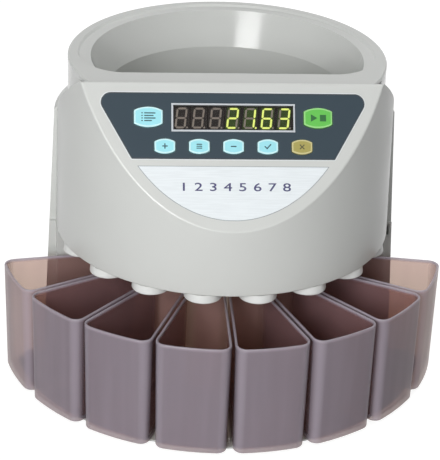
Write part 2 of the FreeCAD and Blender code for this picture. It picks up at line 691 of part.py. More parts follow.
def gear(teeth, bore, phase):
    """Spur gear with involute flanks; phase is the angle of one tooth's middle, in degrees."""
    pitch_r = GEAR_MODULE * teeth / 2
    base_r = pitch_r * math.cos(math.radians(PRESSURE_ANGLE))
    tip_r = pitch_r + GEAR_MODULE
    root_r = pitch_r - DEDENDUM * GEAR_MODULE
    half_pitch = (math.pi * GEAR_MODULE / 2 - BACKLASH) / (2 * pitch_r)
    start_r = max(base_r, root_r)
    radii = [start_r + (tip_r - start_r) * i / FLANK_STEPS for i in range(FLANK_STEPS + 1)]
    flank = []
    for r in radii:
        turn = half_pitch + involute(math.radians(PRESSURE_ANGLE)) - involute(math.acos(base_r / r))
        flank.append((r, turn))
    flank.insert(0, (root_r, flank[0][1]))
    outline = []
    for i in range(teeth):
        middle = math.radians(phase) + 2 * math.pi * i / teeth
        tooth = [(r, middle - t) for r, t in flank] + [(r, middle + t) for r, t in reversed(flank)]
        outline += [(r * math.cos(a), r * math.sin(a)) for r, a in tooth]
    return prism(outline, GEAR_Z, GEAR_Z + GEAR_T).cut(cylinder(bore, GEAR_Z - 1, GEAR_Z + GEAR_T + 1))


def centre_distance():
    return GEAR_MODULE * (GEAR_TEETH + PINION_TEETH) / 2


def disc_gear():
    return gear(GEAR_TEETH, SHAFT_R, 90)


def motor_pinion():
    wheel = gear(PINION_TEETH, MOTOR_SHAFT_R, -90 + 180 / PINION_TEETH)
    wheel.translate(V(0, centre_distance(), 0))
    return wheel


def main_shaft():
    return cylinder(SHAFT_R, SHAFT_BOTTOM_Z, disc_top())


def shaft_bearing():
    barrel = cylinder(BEARING_R, BEARING_BOTTOM_Z, DECK_TOP)
    flange = cylinder(BEARING_FLANGE_R, DECK_Z - BEARING_FLANGE_T, DECK_Z)
    return joined([barrel, flange]).cut(cylinder(SHAFT_R + SHAFT_RUN, 0, BIG))


def motor_shaft():
    top = GEAR_Z + GEAR_T + MOTOR_SHAFT_PROUD
    return cylinder(MOTOR_SHAFT_R, BRACKET_Z - GEARBOX_H / 2, top, 0, centre_distance())


def gear_motor():
    y = centre_distance()
    gearbox = cylinder(GEARBOX_R, BRACKET_Z - GEARBOX_H, BRACKET_Z, 0, y)
    can = cylinder(MOTOR_R, BRACKET_Z - GEARBOX_H - MOTOR_H, BRACKET_Z - GEARBOX_H, 0, y)
    bore = cylinder(MOTOR_SHAFT_R + SHAFT_RUN, BRACKET_Z - GEARBOX_H / 2 - 0.5, BIG, 0, y)
    return joined([gearbox, can]).cut(bore)


def motor_bracket():
    y = centre_distance() + BRACKET_D / 4
    strap = plate(BRACKET_W, BRACKET_D, BRACKET_Z, BRACKET_Z + BRACKET_T, 0, y)
    legs = []
    for x in (-1, 1):
        for side in (-1, 1):
            leg_x = x * (BRACKET_W / 2 - STANDOFF_R - EDGE_MARGIN)
            leg_y = y + side * (BRACKET_D / 2 - STANDOFF_R - EDGE_MARGIN)
            legs.append(cylinder(STANDOFF_R, BRACKET_Z + BRACKET_T - SINK, DECK_Z, leg_x, leg_y))
    shaft_hole = cylinder(MOTOR_SHAFT_R + 1, 0, BIG, 0, centre_distance())
    return joined([strap] + legs).cut(shaft_hole)


# ---- pillars, screws, sensor board --------------------------------------------------------------
def support_pillars():
    pillars = []
    for x, y in PILLARS:
        post = cylinder(PILLAR_R, BASE_TOP, DECK_Z, x, y)
        pillars.append(post.cut(cylinder(SCREW_R, 0, BIG, x, y)))
    return Part.makeCompound(pillars)


def screw(x, y, head_z, head_up):
    shank_end = head_z - SCREW_L if head_up else head_z + SCREW_L
    low, high = sorted((head_z, shank_end))
    shank = cylinder(SCREW_R - THREAD_CLEAR, low, high, x, y)
    head_end = head_z - SCREW_HEAD_T if head_up else head_z + SCREW_HEAD_T
    low, high = sorted((head_z, head_end))
    return joined([shank, cylinder(SCREW_HEAD_R, low, high, x, y)])


def base_screws():
    return Part.makeCompound([screw(x, y, FOOT_H - SCREW_HEAD_T, False) for x, y in PILLARS])


def deck_screws():
    return Part.makeCompound([screw(x, y, DECK_TOP, True) for x, y in PILLARS])


def sensor_board():
    top = DECK_Z - SENSOR_H
    half = SENSOR_BOARD_W / 2
    ring = tube(SENSOR_RING_R + half, SENSOR_RING_R - half, top - BOARD_T, top)
    sensor = plate(SENSOR_W, SENSOR_D, top - SINK, DECK_Z, 0, -SENSOR_RING_R)
    sensors = [turned(sensor, box_angle(k)) for k in range(1, BOX_COUNT + 1)]
    return joined([ring.common(sector(BOX_HALF_ANGLE, 0, BIG))] + sensors)


# ---- console pieces --------------------------------------------------------------------------
def key_places():
    """Name, size and place of each key on the console."""
    places = {
        "button_report": (LARGE_KEY, -LARGE_KEY_U, LARGE_KEY_W),
        "button_start": (LARGE_KEY, LARGE_KEY_U, LARGE_KEY_W),
    }
    row = ["button_plus", "button_batch", "button_minus", "button_set", "button_clear"]
    for i, name in enumerate(row):
        places[name] = (SMALL_KEY, (i - 2) * SMALL_KEY_PITCH, SMALL_KEY_W)
    return places


def key_prism(size, grow, n0, n1):
    """Barrel-shaped block: straight sides, bowed top and bottom."""
    half_w, half_side, half_h = size[0] / 2 + grow, size[1] / 2 + grow, size[2] / 2 + grow
    left_low, left_high = V(-half_w, -half_side, n0), V(-half_w, half_side, n0)
    right_low, right_high = V(half_w, -half_side, n0), V(half_w, half_side, n0)
    edges = [
        Part.LineSegment(left_low, left_high).toShape(),
        Part.Arc(left_high, V(0, half_h, n0), right_high).toShape(),
        Part.LineSegment(right_high, right_low).toShape(),
        Part.Arc(right_low, V(0, -half_h, n0), left_low).toShape(),
    ]
    return Part.Face(Part.Wire(edges)).extrude(V(0, 0, n1 - n0))


def key_flange_n():
    """Lowest point of a key at rest, below the console face."""
    return -SHELL_T - KEY_CLEAR - KEY_FLANGE_T


def board_depth():
    """Upper face of the control board, below the console face."""
    return KEY_TRAVEL + BOARD_GAP - key_flange_n()


def button(name):
    size, u, w = key_places()[name]
    top = OVERLAY_T + KEY_PROUD
    cap = key_prism(size, 0, key_flange_n(), top)
    cap = cap.makeChamfer(KEY_BEVEL, edges_at(cap, top))
    flange = key_prism(size, KEY_FLANGE_W, key_flange_n(), key_flange_n() + KEY_FLANGE_T)
    return on_console(joined([cap, flange]), u, w)


def panel_overlay():
    corners = [(-OVERLAY_LOW_HALF, OVERLAY_LOW_W), (OVERLAY_LOW_HALF, OVERLAY_LOW_W)]
    corners += [(OVERLAY_TOP_HALF, OVERLAY_TOP_W), (-OVERLAY_TOP_HALF, OVERLAY_TOP_W)]
    film = prism(corners, 0, OVERLAY_T)
    upper = [e for e in film.Edges if e.BoundBox.ZLength > OVERLAY_T / 2 and e.BoundBox.YMin > WINDOW_W]
    film = film.makeFillet(OVERLAY_CORNER_R, upper)
    window = plate(WINDOW_SIZE[0], WINDOW_SIZE[1], -1, 2, 0, WINDOW_W)
    keys = []
    for size, u, w in key_places().values():
        hole = key_prism(size, KEY_CLEAR, -1, 2)
        hole.translate(V(u, w, 0))
        keys.append(hole)
    return on_console(without(film, [window] + keys))


def display_bezel():
    wide, high = WINDOW_SIZE
    frame = plate(wide + 2 * BEZEL_BORDER, high + 2 * BEZEL_BORDER, OVERLAY_T, OVERLAY_T + BEZEL_T)
    frame = frame.makeFillet(BEZEL_EDGE, edges_at(frame, OVERLAY_T + BEZEL_T))
    return on_console(frame.cut(plate(wide, high, -BEZEL_T, 2 * BEZEL_T)), 0, WINDOW_W)


def display_window():
    wide, high = WINDOW_SIZE[0] - 2 * LENS_CLEAR, WINDOW_SIZE[1] - 2 * LENS_CLEAR
    return on_console(plate(wide, high, OVERLAY_T - LENS_T, OVERLAY_T), 0, WINDOW_W)


def led_digits():
    wide, high = DIGIT_PITCH - DIGIT_SPACE, WINDOW_SIZE[1] - 2 * DIGIT_MARGIN
    digit = plate(wide, high, -board_depth(), OVERLAY_T - LENS_T - DIGIT_GAP)
    digits = []
    for i in range(DIGIT_COUNT):
        u = (i - (DIGIT_COUNT - 1) / 2) * DIGIT_PITCH
        digits.append(on_console(digit, u, WINDOW_W))
    return Part.makeCompound(digits)


def label_plate():
    across, up = LABEL_RADII
    middle = LABEL_LOW_W + up
    oval = Part.Ellipse(V(0, middle + up, 0), V(across, middle, 0), V(0, middle, 0)).toShape()
    disc = Part.Face(Part.Wire([oval])).extrude(V(0, 0, LABEL_T))
    return on_console(disc.common(box(-LABEL_HALF, LABEL_HALF, 0, LABEL_TOP_W, -1, 2)))


def control_board_holes():
    margin = BOSS_R + EDGE_MARGIN
    edge_u = CONTROL_BOARD_W / 2 - margin
    rows = (CONTROL_BOARD_LOW + margin, CONTROL_BOARD_TOP - margin)
    return [(u, w) for w in rows for u in (-edge_u, edge_u)]


def control_board():
    middle = (CONTROL_BOARD_LOW + CONTROL_BOARD_TOP) / 2
    under = -board_depth() - BOARD_T
    board = plate(CONTROL_BOARD_W, CONTROL_BOARD_TOP - CONTROL_BOARD_LOW, under, under + BOARD_T)
    chip = plate(CHIP[0], CHIP[1], under - CHIP[2], under + SINK, CHIP_U)
    plug = plate(PLUG[0], PLUG[1], under - PLUG[2], under + SINK, PLUG_U)
    return on_console(joined([board, chip, plug]), 0, middle)


def key_pad():
    """Rubber mats on the control board with a dome under each key."""
    low = -board_depth()
    dome_top = key_flange_n() - KEY_TRAVEL - DOME_GAP
    mats = []
    for size, u, w in key_places().values():
        mat = plate(size[0] - 2 * PAD_INSET, size[2] - 2 * PAD_INSET, low, low + PAD_T)
        mats.append(on_console(joined([mat, cylinder(DOME_R, low, dome_top)]), u, w))
    return Part.makeCompound(mats)


# ---- mains parts ---------------------------------------------------------------------------
def power_transformer():
    x, y = TRANSFORMER_AT
    wide, deep, high = TRANSFORMER
    core = plate(wide, deep, BASE_TOP, BASE_TOP + high, x, y)
    low = BASE_TOP + (high - COIL[2]) / 2
    return joined([core, plate(COIL[0], COIL[1], low, low + COIL[2], x, y)])


def power_board_holes():
    x, y = POWER_BOARD_AT
    dx, dy = POWER_BOARD[0] / 2 - BOSS_R, POWER_BOARD[1] / 2 - BOSS_R
    return [(x + i * dx, y + j * dy) for i in (-1, 1) for j in (-1, 1)]


def power_board():
    x, y = POWER_BOARD_AT
    low = BASE_TOP + POWER_BOARD_LIFT
    top = low + BOARD_T
    board = plate(POWER_BOARD[0], POWER_BOARD[1], low, top, x, y)
    sink = plate(HEAT_SINK[0], HEAT_SINK[1], top - SINK, top + HEAT_SINK[2], x + HEAT_SINK_X, y)
    capacitors = [cylinder(CAPACITOR_R, top - SINK, top + CAPACITOR_H, x + dx, y) for dx in CAPACITOR_XS]
    return joined([board, sink] + capacitors)


def panel_face():
    """Outer face of the rear panel."""
    return RECESS_Y + PANEL_T


def panel_block(x, size, grow, y0, y1):
    wide, high = size[0] / 2 + grow, size[1] / 2 + grow
    return box(x - wide, x + wide, y0, y1, RECESS_Z - high, RECESS_Z + high)


def rear_panel():
    sheet = recess_block(-FIT_CLEAR, RECESS_Y, panel_face())
    inlet_hole = panel_block(INLET_X, INLET_SIZE, FIT_CLEAR / 2, 0, BIG)
    switch_hole = panel_block(SWITCH_X, SWITCH_SIZE, FIT_CLEAR / 2, 0, BIG)
    return without(sheet, [inlet_hole, switch_hole])


def power_inlet():
    mouth = panel_face() + MAINS_FLANGE_T
    floor = mouth - INLET_CAVITY_D
    body = panel_block(INLET_X, INLET_SIZE, 0, panel_face() - INLET_D, panel_face())
    body = joined([body, panel_block(INLET_X, INLET_FLANGE, 0, panel_face(), mouth)])
    body = body.cut(panel_block(INLET_X, INLET_CAVITY, 0, floor, BIG))
    blades = []
    for step, rise in ((-1, 0), (0, EARTH_RISE), (1, 0)):
        low = RECESS_Z + rise - BLADE[2] / 2
        blade = plate(BLADE[0], BLADE[1], low, low + BLADE[2], INLET_X + step * BLADE_PITCH)
        blade.translate(V(0, floor - BLADE_ROOT + BLADE[1] / 2, 0))
        blades.append(blade)
    return joined([body] + blades)


def switch_frame():
    back = panel_face() - SWITCH_D
    body = panel_block(SWITCH_X, SWITCH_SIZE, 0, back, panel_face())
    flange = panel_block(SWITCH_X, SWITCH_FLANGE, 0, panel_face(), panel_face() + MAINS_FLANGE_T)
    return joined([body, flange]).cut(panel_block(SWITCH_X, SWITCH_HOLE, 0, back + SWITCH_FLOOR, BIG))


def rocker_pivot():
    return V(SWITCH_X, panel_face() - ROCKER_SINK, RECESS_Z)


def power_rocker():
    out, rise = ROCKER_CORNER
    back, root = ROCKER_ROOT
    profile = [(-back, -root), (out, -rise), (ROCKER_DIP, 0), (out, rise), (-back, root)]
    ring = [V(-ROCKER_W / 2, y, z) for y, z in profile]
    rocker = Part.Face(Part.makePolygon(ring + ring[:1])).extrude(V(ROCKER_W, 0, 0))
    rocker.rotate(V(0, 0, 0), V(1, 0, 0), -ROCKER_TILT)
    rocker.translate(rocker_pivot())
    return rocker


# ---- all pieces ------------------------------------------------------------------------------
def all_pieces():
    pieces = {
        "base_plate": base_plate(),
        "rubber_feet": rubber_feet(),
        "rear_housing": rear_housing(),
        "column_cover": column_cover(),
        "front_cover": front_cover(),
        "hopper_bowl": hopper_bowl(),
        "sorting_plate": sorting_plate(),
        "coin_rail": coin_rail(),
        "sorting_disc": sorting_disc(),
        "disc_cap": disc_cap(),
        "main_shaft": main_shaft(),
        "shaft_bearing": shaft_bearing(),
        "disc_gear": disc_gear(),
        "motor_pinion": motor_pinion(),
        "motor_shaft": motor_shaft(),
        "gear_motor": gear_motor(),
        "motor_bracket": motor_bracket(),
        "spout_tray": spout_tray(),
        "support_pillars": support_pillars(),
        "base_screws": base_screws(),
        "deck_screws": deck_screws(),
        "sensor_board": sensor_board(),
        "control_board": control_board(),
        "key_pad": key_pad(),
        "panel_overlay": panel_overlay(),
        "display_bezel": display_bezel(),
        "display_window": display_window(),
        "led_digits": led_digits(),
        "label_plate": label_plate(),
        "power_transformer": power_transformer(),
        "power_board": power_board(),
        "rear_panel": rear_panel(),
        "power_inlet": power_inlet(),
        "switch_frame": switch_frame(),
        "power_rocker": power_rocker(),
    }
    for name in key_places():
        pieces[name] = button(name)
    for k in range(1, BOX_COUNT + 1):
        pieces[f"coin_spout_{k}"] = coin_spout(k)
        pieces[f"coin_box_{k}"] = coin_box(k)
    return pieces


def centre_shift(pieces):
    """How far back the drum's axis lies from the middle of the footprint, to a tenth of a millimetre."""
    boxes = [shape.optimalBoundingBox(False, False) for shape in pieces.values()]
    front = min(bounds.YMin for bounds in boxes)
    back = max(bounds.YMax for bounds in boxes)
    return round(-(front + back) / 2, 1)


os.makedirs("parts", exist_ok=True)
PIECES = all_pieces()
SHIFT = V(0, centre_shift(PIECES), 0)
for node, shape in PIECES.items():
    shape.translate(SHIFT)
    shape.exportStep(f"parts/{node}.step")
    state = "ok" if shape.isValid() else "INVALID"
    print(f"{node:20s} {state} solids {len(shape.Solids)} volume {shape.Volume:.0f}")
print("axis shift", SHIFT.y)
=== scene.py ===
"""Looks of a table-top coin sorter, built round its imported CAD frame.

Metres, in the CAD's own frame: +Z up, front towards -Y. The shells, the bowl and the mechanism are
the CAD's own solids with procedural finishes. The coin boxes, the keys, the display's segments, the
markings and the trims are meshes made here.
"""

import bmesh
import bpy
import json
import math
from mathutils import Matrix, Vector


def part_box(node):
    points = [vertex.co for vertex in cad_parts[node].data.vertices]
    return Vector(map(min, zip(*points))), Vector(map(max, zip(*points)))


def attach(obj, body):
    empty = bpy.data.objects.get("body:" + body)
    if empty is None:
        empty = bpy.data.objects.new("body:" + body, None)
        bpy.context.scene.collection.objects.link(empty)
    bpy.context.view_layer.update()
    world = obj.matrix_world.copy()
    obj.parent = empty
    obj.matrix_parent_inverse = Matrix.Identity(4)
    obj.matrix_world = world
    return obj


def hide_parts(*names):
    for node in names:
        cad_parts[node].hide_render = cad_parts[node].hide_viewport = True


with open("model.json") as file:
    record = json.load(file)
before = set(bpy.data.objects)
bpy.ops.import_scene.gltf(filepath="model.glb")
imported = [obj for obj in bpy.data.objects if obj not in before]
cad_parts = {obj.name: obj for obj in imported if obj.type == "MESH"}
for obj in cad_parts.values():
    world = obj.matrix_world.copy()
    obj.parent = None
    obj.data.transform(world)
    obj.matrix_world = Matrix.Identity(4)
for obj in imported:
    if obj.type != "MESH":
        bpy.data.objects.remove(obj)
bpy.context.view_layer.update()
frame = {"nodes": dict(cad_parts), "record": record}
NODES = frame["nodes"]
MM = 0.001

# ---- places taken from the frame and sizes shared with the CAD, in millimetres -----------------
SHAFT_LOW, SHAFT_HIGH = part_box("main_shaft")
AXIS_Y = (SHAFT_LOW.y + SHAFT_HIGH.y) / 2 / MM
FIRST_BOX_LOW, FIRST_BOX_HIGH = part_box("coin_box_1")
BOX_LOW_Z = FIRST_BOX_LOW.z / MM
BOX_TOP_Z = FIRST_BOX_HIGH.z / MM
BOX_COUNT = 8
BOX_PITCH = math.radians(20.0)
BOX_OUTER_R = 184.4
BOX_INNER_R = 82.0
BOX_GAP = 2.4
BOX_DRAFT = math.tan(math.radians(0.8))
BOX_WALL = 2.0
BOX_FLOOR = 2.4
BOX_OUTER_CORNER = 9.0
BOX_INNER_CORNER = 6.0
BOX_FOOT_ROUND = 1.6
BOX_RIM_ROUND = 0.9

CONSOLE_LEAN = math.radians(36.2)
CONSOLE_LOW_Z = 173.0
CONSOLE_LOW_R = 137.36              # drum radius at the console's foot
OVERLAY_T = 0.5
OVERLAY_CORNERS = ((-78.2, 57.2), (78.2, 57.2), (107.5, 109.4), (-107.5, 109.4))
OVERLAY_RADII = (1.2, 1.2, 7.8, 7.8)
WINDOW_UP = 89.8                    # the display window's middle, up the slope
WINDOW_WIDTH = 92.8
LENS_T = 1.5
DIGIT_COUNT = 7
LABEL_T = 0.4
LABEL_TOP = 51.3                    # the label's upper and lower reach, up the slope
LABEL_LOW = 9.5
LABEL_RADII = (102.0, 139.0)        # of its ellipse, across and up
KEY_TOP = 1.8                       # above the console face
KEY_LOW = -4.0
KEY_FLANGE_TOP = -2.8
KEY_FLANGE_W = 1.0
LARGE_KEY = (22.2, 10.4, 16.2)      # width, height of the straight sides, height at the middle
SMALL_KEY = (16.0, 7.2, 11.8)
KEYS = {                            # size, place across, place up the slope, material slot
    "report": (LARGE_KEY, -65.5, 89.9, "key_cyan"),
    "start": (LARGE_KEY, 65.5, 89.9, "key_green"),
    "plus": (SMALL_KEY, -52.8, 67.0, "key_cyan"),
    "batch": (SMALL_KEY, -26.4, 67.0, "key_cyan"),
    "minus": (SMALL_KEY, 0.0, 67.0, "key_cyan"),
    "set": (SMALL_KEY, 26.4, 67.0, "key_cyan"),
    "clear": (SMALL_KEY, 52.8, 67.0, "key_olive"),
}

# ---- colours, as they look on a screen, 0 to 255 ---------------------------------------------------
BODY_GREY = (206, 208, 205)
SPOUT_WHITE = (226, 228, 226)
SMOKE = (158, 150, 164)              # what the smoked boxes reflect outside
SMOKE_INSIDE_PAINTED_LIGHT = (178, 134, 138)       # painted light: the insides take a warmer, redder colour for the light that has come through their walls
SMOKE_MILKY_AND_HIGHLIGHT = (178, 169, 181)        # and where it is frosted or thick: fronts and rims; on the outer corners and the rims it is also a painted highlight
SMOKE_TINT = (240, 228, 220)         # what light takes on through one face of a wall
SLATE = (54, 67, 76)
DARK_EDGE = (40, 50, 58)
KEY_SEAT = (24, 50, 58)
PALE_TRIM = (222, 226, 226)
LABEL_WHITE = (231, 237, 240)
NAVY = (62, 60, 104)
KEY_INKS = {"key_cyan": (26, 68, 78), "key_green": (20, 92, 34), "key_olive": (78, 76, 44)}
# painted shade: a dark line along the label's seam
LABEL_SHADE_GREY = (150, 155, 160)
SWITCH_WHITE = (224, 226, 226)


def linear(colour):
    """Screen colour 0..255 to the renderer's linear values."""
    return tuple((c / 255 / 12.92) if c <= 10 else ((c / 255 + 0.055) / 1.055) ** 2.4 for c in colour)


# ---- materials -------------------------------------------------------------------------------------
NOISE_MIDDLE = (0.25, 0.75)         # where most of a noise's values lie


class Finish:
    """A procedural material: one Principled shader with its colour, roughness and bump from noise."""

    def __init__(self, name, colour, rough, metal=0.0):
        self.material = bpy.data.materials.new(name)
        self.material.use_nodes = True
        self.tree = self.material.node_tree
        self.shader = self.tree.nodes["Principled BSDF"]
        self.shader.inputs["Metallic"].default_value = metal
        self.shader.inputs["Roughness"].default_value = rough
        self.rough = rough
        self.colour = (*linear(colour), 1.0)
        self.shader.inputs["Base Color"].default_value = self.colour
        self.place = self.tree.nodes.new("ShaderNodeTexCoord").outputs["Object"]

    def noise(self, scale, stretch=None, detail=3.0):
        node = self.tree.nodes.new("ShaderNodeTexNoise")
        node.inputs["Scale"].default_value = scale
        node.inputs["Detail"].default_value = detail
        source = self.place
        if stretch:
            mapping = self.tree.nodes.new("ShaderNodeMapping")
            mapping.inputs["Scale"].default_value = stretch
            self.tree.links.new(source, mapping.inputs["Vector"])
            source = mapping.outputs["Vector"]
        self.tree.links.new(source, node.inputs["Vector"])
        return node.outputs["Fac"]

    def spread(self, value, low, high):
        """The value's middle range carried to low..high."""
        node = self.tree.nodes.new("ShaderNodeMapRange")
        node.interpolation_type = "SMOOTHSTEP"
        node.inputs["From Min"].default_value, node.inputs["From Max"].default_value = NOISE_MIDDLE
        node.inputs["To Min"].default_value = low
        node.inputs["To Max"].default_value = high
        self.tree.links.new(value, node.inputs["Value"])
        return node.outputs["Result"]

    def mottle(self, scale, amount, stretch=None):
        """Colour that drifts a little lighter and darker over the surface."""
        mix = self.tree.nodes.new("ShaderNodeMix")
        mix.data_type = "RGBA"
        dark = tuple(c * (1 - amount) for c in self.colour[:3])
        light = tuple(min(1.0, c * (1 + amount)) for c in self.colour[:3])
        mix.inputs["A"].default_value = (*dark, 1.0)
        mix.inputs["B"].default_value = (*light, 1.0)
        self.tree.links.new(self.spread(self.noise(scale, stretch), 0.0, 1.0), mix.inputs["Factor"])
        self.tree.links.new(mix.outputs["Result"], self.shader.inputs["Base Color"])
        return self

    def polish(self, scale, amount, stretch=None):
        """Roughness that varies with handling."""
        value = self.spread(self.noise(scale, stretch), self.rough - amount, self.rough + amount)
        self.tree.links.new(value, self.shader.inputs["Roughness"])
        return self

    def grain(self, scale, height, strength, stretch=None):
        """Fine raised texture, height in metres."""
        bump = self.tree.nodes.new("ShaderNodeBump")
        bump.inputs["Strength"].default_value = strength
        bump.inputs["Distance"].default_value = height
        self.tree.links.new(self.noise(scale, stretch), bump.inputs["Height"])
        self.tree.links.new(bump.outputs["Normal"], self.shader.inputs["Normal"])
        return self


def plastic(name, colour, rough, grain_height=0.00006):
    finish = Finish(name, colour, rough)
    return finish.mottle(9.0, 0.02).polish(35.0, 0.05).grain(1600.0, grain_height, 0.35).material


def satin(name, colour, rough, gloss):
    """Moulded plastic with a gloss of its own; 0.5 is a common one."""
    finish = Finish(name, colour, rough).mottle(9.0, 0.02).polish(25.0, 0.04).grain(1600.0, 0.00004, 0.3)
    finish.shader.inputs["Specular IOR Level"].default_value = gloss
    return finish.material


def powder_coat(colour):
    """Sprayed and baked paint, with the faint waves of an orange's peel."""
    finish = Finish("powder_coat", colour, 0.5)
    return finish.mottle(9.0, 0.02).polish(35.0, 0.05).grain(350.0, 0.00002, 0.3).material


def turned_metal(name, colour, rough):
    finish = Finish(name, colour, rough, metal=1.0)
    return finish.mottle(60.0, 0.08).polish(220.0, 0.06).grain(900.0, 0.00002, 0.3, (1, 1, 12)).material


def brushed_film(name, colour, rough):
    """Printed film with a faint lengthwise brushing."""
    finish = Finish(name, colour, rough)
    finish.mottle(900.0, 0.035, (0.06, 1.0, 1.0)).polish(60.0, 0.05)
    return finish.grain(2400.0, 0.00003, 0.4, (0.03, 1.0, 1.0)).material


THICKNESS_AND_HIGHLIGHT = "thickness_and_highlight"             # mesh attributes that the smoked plastic reads
INSIDE = "inside"
SMOKE_STREAK = 0.05                 # how far upright flow streaks change the thickness
SMOKE_SOLID = (0.26, 0.72)          # share that isn't clear, at thickness 0 and 1


def smoke_plastic():
    """Half clear plastic: light passes with a warm tint, and the rest scatters back cooler.

    One attribute of the mesh says how thick or frosted the plastic is, and also carries a painted highlight
    round the outer corners and on the rims, from 0 on the plain walls to 1 on the rims; another is 1 on the
    inside of the box.
    """
    finish = Finish("smoke_plastic", SMOKE, 0.34)
    tree, link = finish.tree, finish.tree.links.new
    finish.polish(12.0, 0.04).grain(500.0, 0.00002, 0.1)
    thick, inner = (tree.nodes.new("ShaderNodeAttribute") for _ in range(2))
    thick.attribute_name, inner.attribute_name = THICKNESS_AND_HIGHLIGHT, INSIDE
    streaks = finish.spread(finish.noise(70.0, (1.0, 1.0, 0.08), 2.0), -SMOKE_STREAK, SMOKE_STREAK)
    share = tree.nodes.new("ShaderNodeMath")
    share.operation = "ADD"
    link(thick.outputs["Fac"], share.inputs[0])
    link(streaks, share.inputs[1])
    # the inner faces take a colour painted for the tinted light that comes in through the walls
    side, colour = (tree.nodes.new("ShaderNodeMix") for _ in range(2))
    side.data_type = colour.data_type = "RGBA"
    side.inputs["A"].default_value = (*linear(SMOKE), 1.0)
    side.inputs["B"].default_value = (*linear(SMOKE_INSIDE_PAINTED_LIGHT), 1.0)
    link(inner.outputs["Fac"], side.inputs["Factor"])
    link(side.outputs["Result"], colour.inputs["A"])
    # the fronts are frosted; the corners and the rims get a painted highlight, lighter and less clear
    colour.inputs["B"].default_value = (*linear(SMOKE_MILKY_AND_HIGHLIGHT), 1.0)
    link(share.outputs["Value"], colour.inputs["Factor"])
    link(colour.outputs["Result"], finish.shader.inputs["Base Color"])
    solid = tree.nodes.new("ShaderNodeMapRange")
    solid.inputs["To Min"].default_value, solid.inputs["To Max"].default_value = SMOKE_SOLID
    link(share.outputs["Value"], solid.inputs["Value"])
    clear = tree.nodes.new("ShaderNodeBsdfTransparent")
    clear.inputs["Color"].default_value = (*linear(SMOKE_TINT), 1.0)
    mix = tree.nodes.new("ShaderNodeMixShader")
    link(solid.outputs["Result"], mix.inputs["Fac"])
    link(clear.outputs["BSDF"], mix.inputs[1])
    link(finish.shader.outputs["BSDF"], mix.inputs[2])
    link(mix.outputs["Shader"], tree.nodes["Material Output"].inputs["Surface"])
    return finish.material


def lens_plastic():
    """Smoked lens, mostly clear."""
    finish = Finish("lens_plastic", (20, 14, 10), 0.08)
    finish.mottle(50.0, 0.1).grain(300.0, 0.00001, 0.1)
    finish.shader.inputs["Specular IOR Level"].default_value = 0.15
    finish.shader.inputs["Alpha"].default_value = 0.2
    return finish.material


def glowing(name, colour, strength):
    """Surface that gives its own colour as light."""
    finish = Finish(name, colour, 0.4)
    finish.mottle(300.0, 0.06)
    finish.shader.inputs["Emission Color"].default_value = finish.colour
    finish.shader.inputs["Emission Strength"].default_value = strength
    return finish.material


MATERIALS = {
    "body_grey": satin("body_plastic", BODY_GREY, 0.325, 0.6),
    "sheet_steel": powder_coat((188, 190, 188)),
    "black_rubber": plastic("rubber", (38, 38, 38), 0.8, 0.0001),
    "deck_metal": turned_metal("deck_metal", (196, 196, 194), 0.38),
    "disc_plastic": plastic("disc_plastic", (208, 208, 204), 0.36),
    "steel": turned_metal("steel", (176, 176, 178), 0.36),
    "bronze": turned_metal("bronze", (196, 158, 96), 0.38),
    "gear_nylon": plastic("gear_nylon", (232, 228, 214), 0.45),
    "motor_steel": plastic("motor_paint", (92, 94, 98), 0.4),
    "circuit_board": plastic("circuit_board", (26, 98, 56), 0.35),
    "overlay_slate": satin("overlay_film", SLATE, 0.5, 0.2),
    "bezel_pale": plastic("bezel_plastic", (198, 203, 208), 0.35, 0.00002),
    "smoke_lens": lens_plastic(),
    "digit_black": plastic("digit_body", (28, 20, 16), 0.6, 0.00001),
    "label_white": brushed_film("label_film", LABEL_WHITE, 0.4),
    "black_plastic": plastic("black_plastic", (40, 40, 42), 0.45),
    "key_cyan": plastic("key_cyan", (160, 228, 238), 0.35, 0.00002),
    "key_green": plastic("key_green", (96, 190, 76), 0.35, 0.00002),
    "key_olive": plastic("key_olive", (166, 156, 84), 0.35, 0.00002),
    "spout_white": plastic("spout_plastic", SPOUT_WHITE, 0.35),
    "box_smoke": smoke_plastic(),
}
BOWL_MATERIAL = satin("bowl_plastic", BODY_GREY, 0.17, 0.5)
TRIM_MATERIAL = plastic("pale_trim", PALE_TRIM, 0.35, 0.00002)
DARK_TRIM_MATERIAL = plastic("dark_trim", DARK_EDGE, 0.4, 0.00002)
KEY_SEAT_MATERIAL = plastic("key_seat_ink", KEY_SEAT, 0.45, 0.00002)
NAVY_INK = plastic("navy_ink", NAVY, 0.45, 0.00001)
SWITCH_INK = plastic("switch_ink", SWITCH_WHITE, 0.45, 0.00001)
LABEL_SHADE_MATERIAL = plastic("label_shade_line", LABEL_SHADE_GREY, 0.45, 0.00001)
LEGEND_INKS = {slot: plastic(f"sign_ink_{slot}", ink, 0.45, 0.00001) for slot, ink in KEY_INKS.items()}
SEGMENT_OFF = plastic("segment_off", (182, 169, 157), 0.5, 0.00001)
SEGMENT_ON = glowing("segment_on", (232, 244, 128), 0.95)
GLOW_GREEN = glowing("glow_green", (40, 62, 0), 0.6)
# painted highlight: a paler copy of each key's colour on its rounded edge and flat rim
KEY_HIGHLIGHT_RIMS = {
    "key_cyan": plastic("key_rim_highlight_cyan", (206, 246, 250), 0.3, 0.00002),
    "key_green": plastic("key_rim_highlight_green", (150, 216, 130), 0.3, 0.00002),
    "key_olive": plastic("key_rim_highlight_olive", (204, 196, 140), 0.3, 0.00002),
}


def dress_cad_nodes():
    """Every CAD node takes the finish of its own slot in the record, save the bowl, which takes a glossier
    one.
    """
    slots = {entry["node"]: entry["material_slot"] for entry in frame["record"]["subparts"]}
    for name, node in NODES.items():
        for place in node.material_slots:
            place.link = "OBJECT"
            place.material = BOWL_MATERIAL if name == "hopper_bowl" else MATERIALS[slots[name]]


